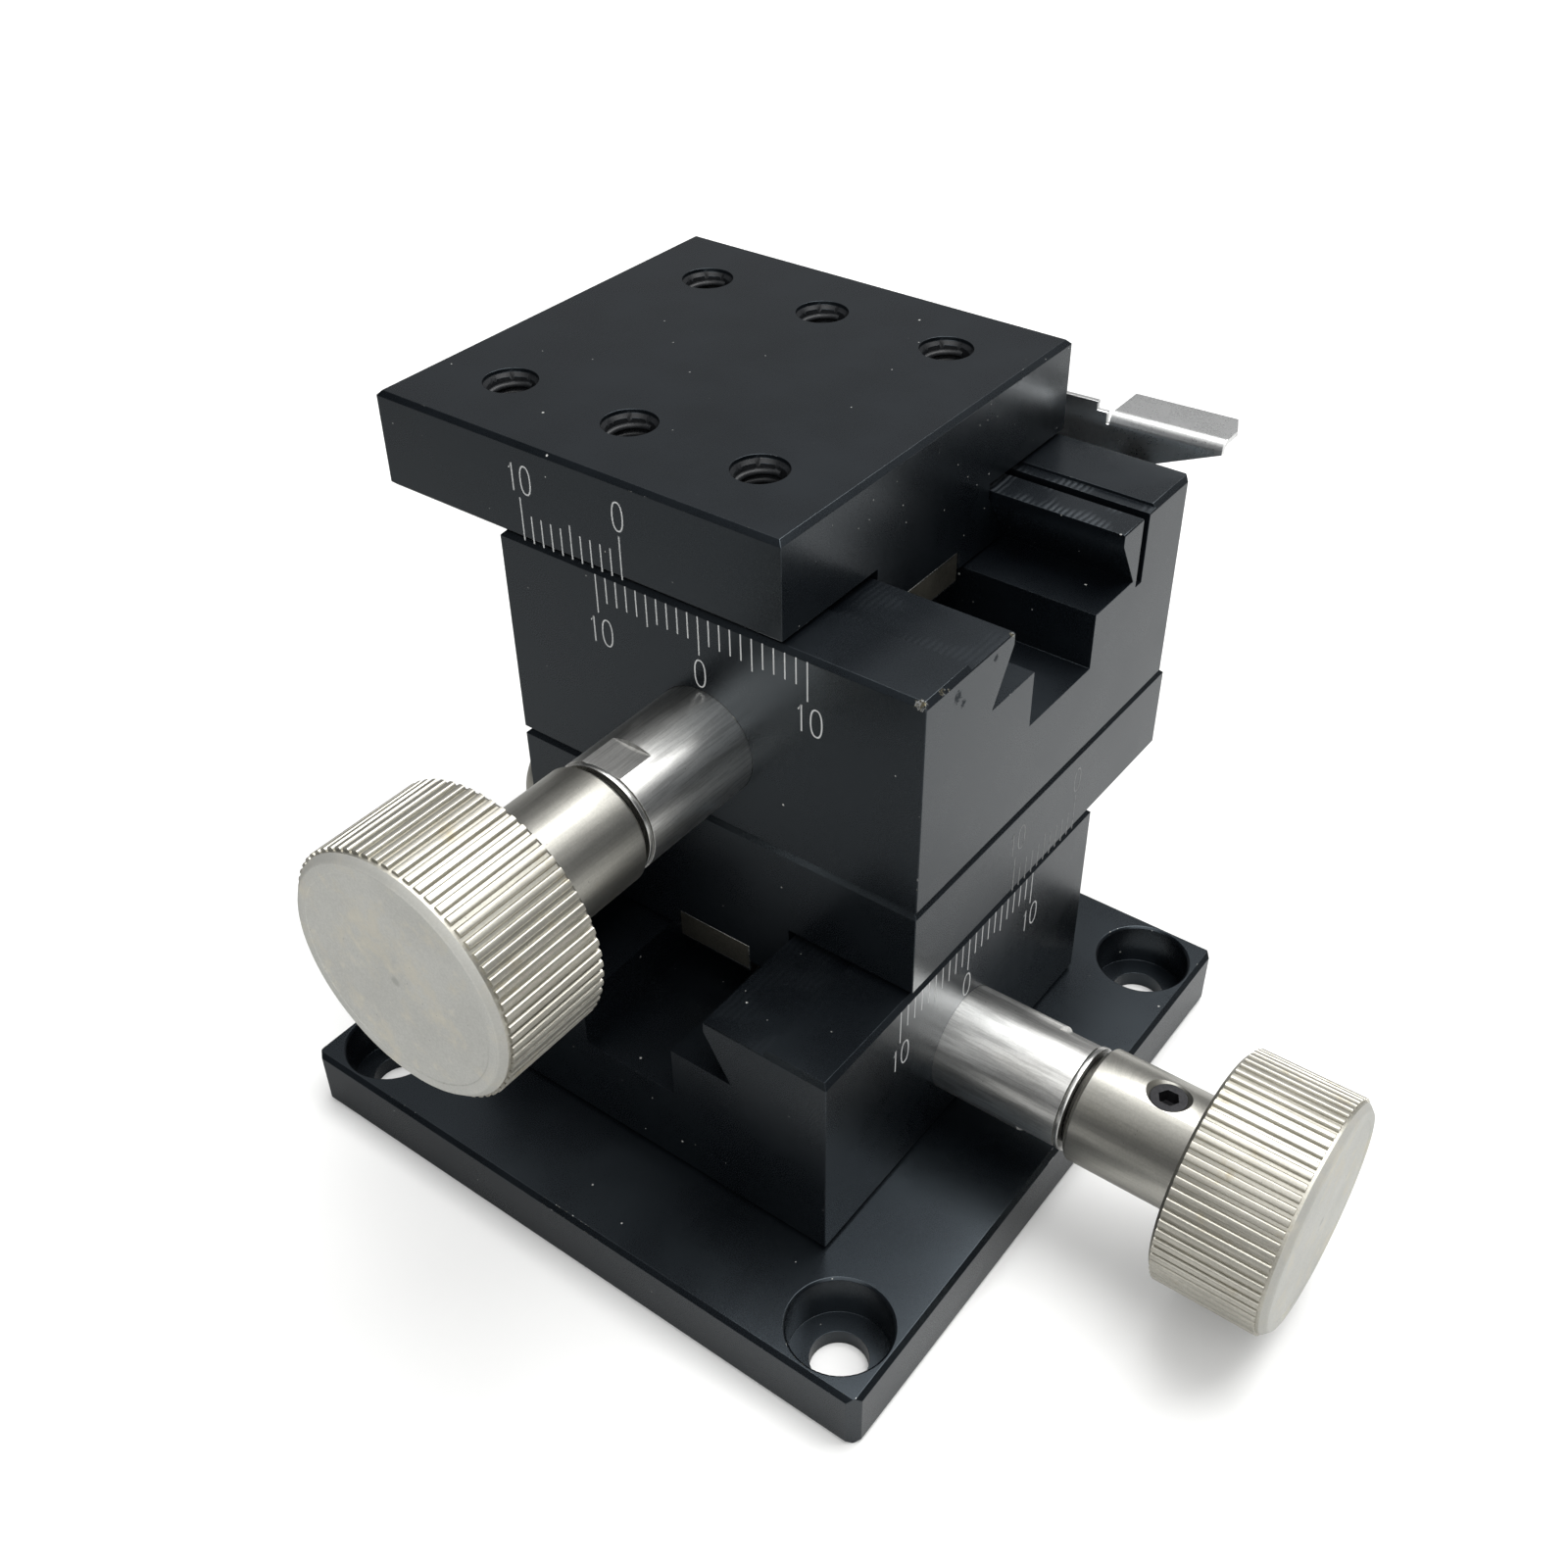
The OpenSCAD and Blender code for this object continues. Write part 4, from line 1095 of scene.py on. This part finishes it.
def ribbon(work, points, width, closed):
    """A flat line of that width along the points, from below the face to a little proud of it."""
    count = len(points)
    sides = []
    for i, point in enumerate(points):
        here = Vector(point)
        before = Vector(points[i - 1]) if closed or i > 0 else here
        after = Vector(points[(i + 1) % count]) if closed or i < count - 1 else here
        along = (after - before).normalized()
        across = Vector((-along.y, along.x)) * width / 2
        sides.append((here + across, here - across))
    corners = [
        [work.verts.new((spot.x, spot.y, height)) for spot, height in (
            (left, -MARK_SINK), (right, -MARK_SINK), (right, MARK_PROUD), (left, MARK_PROUD))]
        for left, right in sides
    ]
    pairs = list(zip(corners, corners[1:])) + ([(corners[-1], corners[0])] if closed else [])
    for here, there in pairs:
        for i in range(4):
            work.faces.new((here[i], here[(i + 1) % 4], there[(i + 1) % 4], there[i]))
    if not closed:
        work.faces.new(corners[0])
        work.faces.new(list(reversed(corners[-1])))


def squarish(share):
    """A sine or cosine that makes the nought's oval fuller at its corners."""
    return math.copysign(abs(share) ** NOUGHT_SQUARENESS, share)


def write_number(work, text, x, y):
    """Single-line figures, as an engraving cutter makes them, centred on x with their foot at y."""
    advance = NUMBER_WIDTH + NUMBER_GAP
    left = x - advance * (len(text) - 1) / 2
    for i, figure in enumerate(text):
        centre = left + i * advance
        if figure == "1":
            stem = centre + NUMBER_WIDTH * ONE_SHIFT
            flag = (stem - NUMBER_WIDTH * ONE_FLAG[0], y + NUMBER_HEIGHT * ONE_FLAG[1])
            ribbon(work, [flag, (stem, y + NUMBER_HEIGHT), (stem, y)], NUMBER_LINE, False)
        else:
            middle = y + NUMBER_HEIGHT / 2
            ribbon(work, [
                (centre + NUMBER_WIDTH / 2 * squarish(math.cos(a)),
                 middle + NUMBER_HEIGHT / 2 * squarish(math.sin(a)))
                for a in (2 * math.pi * (k + 0.5) / NOUGHT_STEPS for k in range(NOUGHT_STEPS))
            ], NUMBER_LINE, True)


def engrave(name, body, place, marks, lengths, foot_up, numbers, paint):
    """A scale on a face, with X along it, Y up and Z outwards. Marks hang from Y = 0 or stand on it."""
    short, middle, longest = lengths
    work = bmesh.new()
    rows = mesh_from_tree(
        SCALE, paint, Marks=marks, Pitch=MARK_PITCH, Short=short, Middle=middle, Long=longest,
        Line_Width=MARK_WIDTH, Thickness=MARK_SINK + MARK_PROUD,
    )
    work.from_mesh(rows)
    bmesh.ops.translate(work, verts=work.verts, vec=(0, 0, (MARK_PROUD - MARK_SINK) / 2))
    if foot_up:
        bmesh.ops.scale(work, verts=work.verts, vec=(1, -1, 1))
    for at, text, y in numbers:
        write_number(work, text, at, y)
    bmesh.ops.recalc_face_normals(work, faces=work.faces)
    bmesh.ops.transform(work, matrix=place, verts=work.verts)
    piece = new_piece(name, to_mesh(work, name), [paint])
    hand_over(piece, body, "sleeve_steel")


def scale_start(node, outward, marks, height):
    """The frame at the left end of a scale, centred on the node's face that looks outward."""
    low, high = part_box(node)
    start = (low + high) / 2
    half = (marks - 1) / 2 * MARK_PITCH * MM
    if outward[1]:
        start.x, start.y = start.x - half, low.y
    else:
        start.x, start.y = high.x, start.y - half
    start.z = height
    return axis_frame(start / MM, outward)


def engrave_pair(moving_node, moving, block_node, fixed, outward, moving_paint):
    """The scales of one slide, the short one on its table above the long one on its block."""
    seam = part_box(block_node)[1].z
    above = TABLE_LONG + NUMBER_SPACE
    engrave(
        moving_node + "_scale", moving,
        scale_start(moving_node, outward, TABLE_MARKS, seam + TABLE_FOOT * MM), TABLE_MARKS,
        (TABLE_SHORT, TABLE_MIDDLE, TABLE_LONG), True, [(0, "10", above), (10, "0", above)],
        moving_paint,
    )
    below = -BODY_LONG - NUMBER_SPACE - NUMBER_HEIGHT
    engrave(
        block_node + "_scale", fixed,
        scale_start(block_node, outward, BODY_MARKS, seam - BODY_HEAD * MM), BODY_MARKS,
        (BODY_SHORT, BODY_MIDDLE, BODY_LONG), False,
        [(0, "10", below), (10, "0", below), (20, "10", below)], PAINT,
    )


engrave_pair("top_table", "table", "upper_body", "carriage", (0, -1, 0), PAINT)
engrave_pair("lower_table", "carriage", "lower_body", "base", (1, 0, 0), WORN_PAINT)


# Floor, light and camera. Floor places are in millimetres from the middle, or along its diagonal

FLOOR_REACH = 3000.0
FLOOR_GAP = 0.02
FLOOR_GLOW = 0.06
# Floor colour in reflections: a painted shadow close round the object, and painted shade towards the
# front
SHADED_FLOOR = 0.88
SHADED_TO = 36.0
LIT_FROM = 62.0
GLOW_NEAR = 90.0
GLOW_FAR = 420.0
FRONT_FLOOR = 0.38
BACK_FLOOR = 0.74
DIM_FLOOR_AT = -70.0
WHITE_FLOOR_AT = 20.0
ROOM_LEAN = -0.3
ROOM_FRONT = -0.1
ROOM_BACK = 0.8
ROOM_BACK_SHARE = 0.30
ROOM_HIGH_FROM = 0.62
ROOM_LOW = 0.70
ROOM_LOW_TO = 0.35
ROOM_FULL_FROM = 0.68
ROOM_DIM = (0.05, 0.052, 0.055)
ROOM_BRIGHT = (1.0, 1.0, 1.0)
LAMP_TARGET = (0, 0, 20)


def make_floor():
    """A white sheet that keeps the object's soft shadow. Reflections see it with painted shade: greyer
    towards the front, and darker close round the object as a painted shadow.
    """
    mesh = bpy.data.meshes.new("floor")
    reach = FLOOR_REACH * MM
    corners = [(x * reach, y * reach, 0) for x, y in ((-1, -1), (1, -1), (1, 1), (-1, 1))]
    mesh.from_pydata(corners, [], [(0, 1, 2, 3)])
    material, tree, position = new_material("white sheet")
    tree.nodes.remove(tree.nodes["Principled BSDF"])
    path = tree.nodes.new("ShaderNodeLightPath").outputs
    mirrored = maths(tree, "MAXIMUM", path["Is Glossy Ray"], path["Is Transmission Ray"])
    parts = put(tree, "ShaderNodeSeparateXYZ", {0: position}).outputs
    across = plus(tree, parts["X"], parts["Y"])
    # Reflections only: painted shade, the floor greyer towards the front
    painted_front_shade = ramp(tree, across, DIM_FLOOR_AT * MM, WHITE_FLOOR_AT * MM, FRONT_FLOOR, BACK_FLOOR)
    away = vectors(tree, "LENGTH", position, output="Value")
    # Reflections only: a painted shadow, the floor darker close round the object
    painted_shadow_near = ramp(tree, away, SHADED_TO * MM, LIT_FROM * MM, SHADED_FLOOR, 1.0)
    share = only_where(tree, mirrored, times(tree, painted_front_shade, painted_shadow_near))
    sheet = blend_colours(tree, share, (0.0, 0.0, 0.0), SHEET_WHITE)
    matt = made(tree, "ShaderNodeBsdfDiffuse", {"Color": sheet})
    brightness = ramp(tree, away, GLOW_NEAR * MM, GLOW_FAR * MM, FLOOR_GLOW, 1.0)
    level = times(tree, path["Is Camera Ray"], brightness)
    glow = made(tree, "ShaderNodeEmission", {"Strength": level})
    both = made(tree, "ShaderNodeAddShader", {0: matt, 1: glow})
    tree.links.new(both, tree.nodes["Material Output"].inputs["Surface"])
    floor = new_piece("floor", mesh, [material])
    floor.location.z = -FLOOR_GAP * MM


def make_world():
    """A room that is brighter overhead and behind the object than towards the camera."""
    world = bpy.data.worlds.new("room")
    bpy.context.scene.world = world
    world.use_nodes = True
    tree = world.node_tree
    direction = tree.nodes.new("ShaderNodeTexCoord").outputs["Generated"]
    parts = put(tree, "ShaderNodeSeparateXYZ", {0: direction}).outputs
    leaning = plus(tree, times(tree, parts["X"], ROOM_LEAN), parts["Y"])
    lowered = ramp(tree, parts["Z"], ROOM_LOW_TO, ROOM_FULL_FROM, ROOM_LOW, 1.0)
    behind = times(tree, ramp(tree, leaning, ROOM_FRONT, ROOM_BACK), lowered)
    overhead = ramp(tree, parts["Z"], ROOM_HIGH_FROM, 1.0)
    share = maths(tree, "MAXIMUM", times(tree, behind, ROOM_BACK_SHARE), overhead)
    seen = tree.nodes.new("ShaderNodeLightPath").outputs["Is Camera Ray"]
    colour = blend_colours(tree, maths(tree, "MAXIMUM", share, seen), ROOM_DIM, ROOM_BRIGHT)
    tree.links.new(colour, tree.nodes["Background"].inputs["Color"])


def add_softbox(name, place, side, power):
    """A square lamp that looks at the object."""
    light = bpy.data.lights.new(name, "AREA")
    light.shape = "RECTANGLE"
    light.size = light.size_y = side * MM
    light.energy = power
    lamp = add_object(name, light)
    lamp.location = Vector(place) * MM
    lamp.rotation_mode = "QUATERNION"
    lamp.rotation_quaternion = (Vector(LAMP_TARGET) * MM - lamp.location).to_track_quat("-Z", "Y")


def make_camera():
    data = bpy.data.cameras.new("camera")
    data.sensor_width = SENSOR_WIDTH
    data.lens = FOCAL_PIXELS / PICTURE_PIXELS * SENSOR_WIDTH
    data.clip_start = 0.005
    data.clip_end = 20.0
    camera = add_object("camera", data)
    turn, dip, roll = (math.radians(v) for v in (CAMERA_TURN, CAMERA_DIP, CAMERA_ROLL))
    ahead = Vector((-math.cos(dip) * math.sin(turn), math.cos(dip) * math.cos(turn), -math.sin(dip)))
    right = Vector((math.cos(turn), math.sin(turn), 0))
    up = right.cross(ahead)
    rolled_right = right * math.cos(roll) + up * math.sin(roll)
    rolled_up = -right * math.sin(roll) + up * math.cos(roll)
    pose = Matrix((rolled_right, rolled_up, -ahead)).transposed().to_4x4()
    camera.matrix_world = Matrix.Translation(Vector(CAMERA_PLACE) * MM) @ pose
    bpy.context.scene.camera = camera


make_floor()
make_world()
add_softbox("overhead softbox", (50, 110, 410), 340, 2.2)
add_softbox("front softbox", (190, -315, 320), 550, 1.6)
make_camera()
bpy.context.scene.view_settings.view_transform = "Standard"
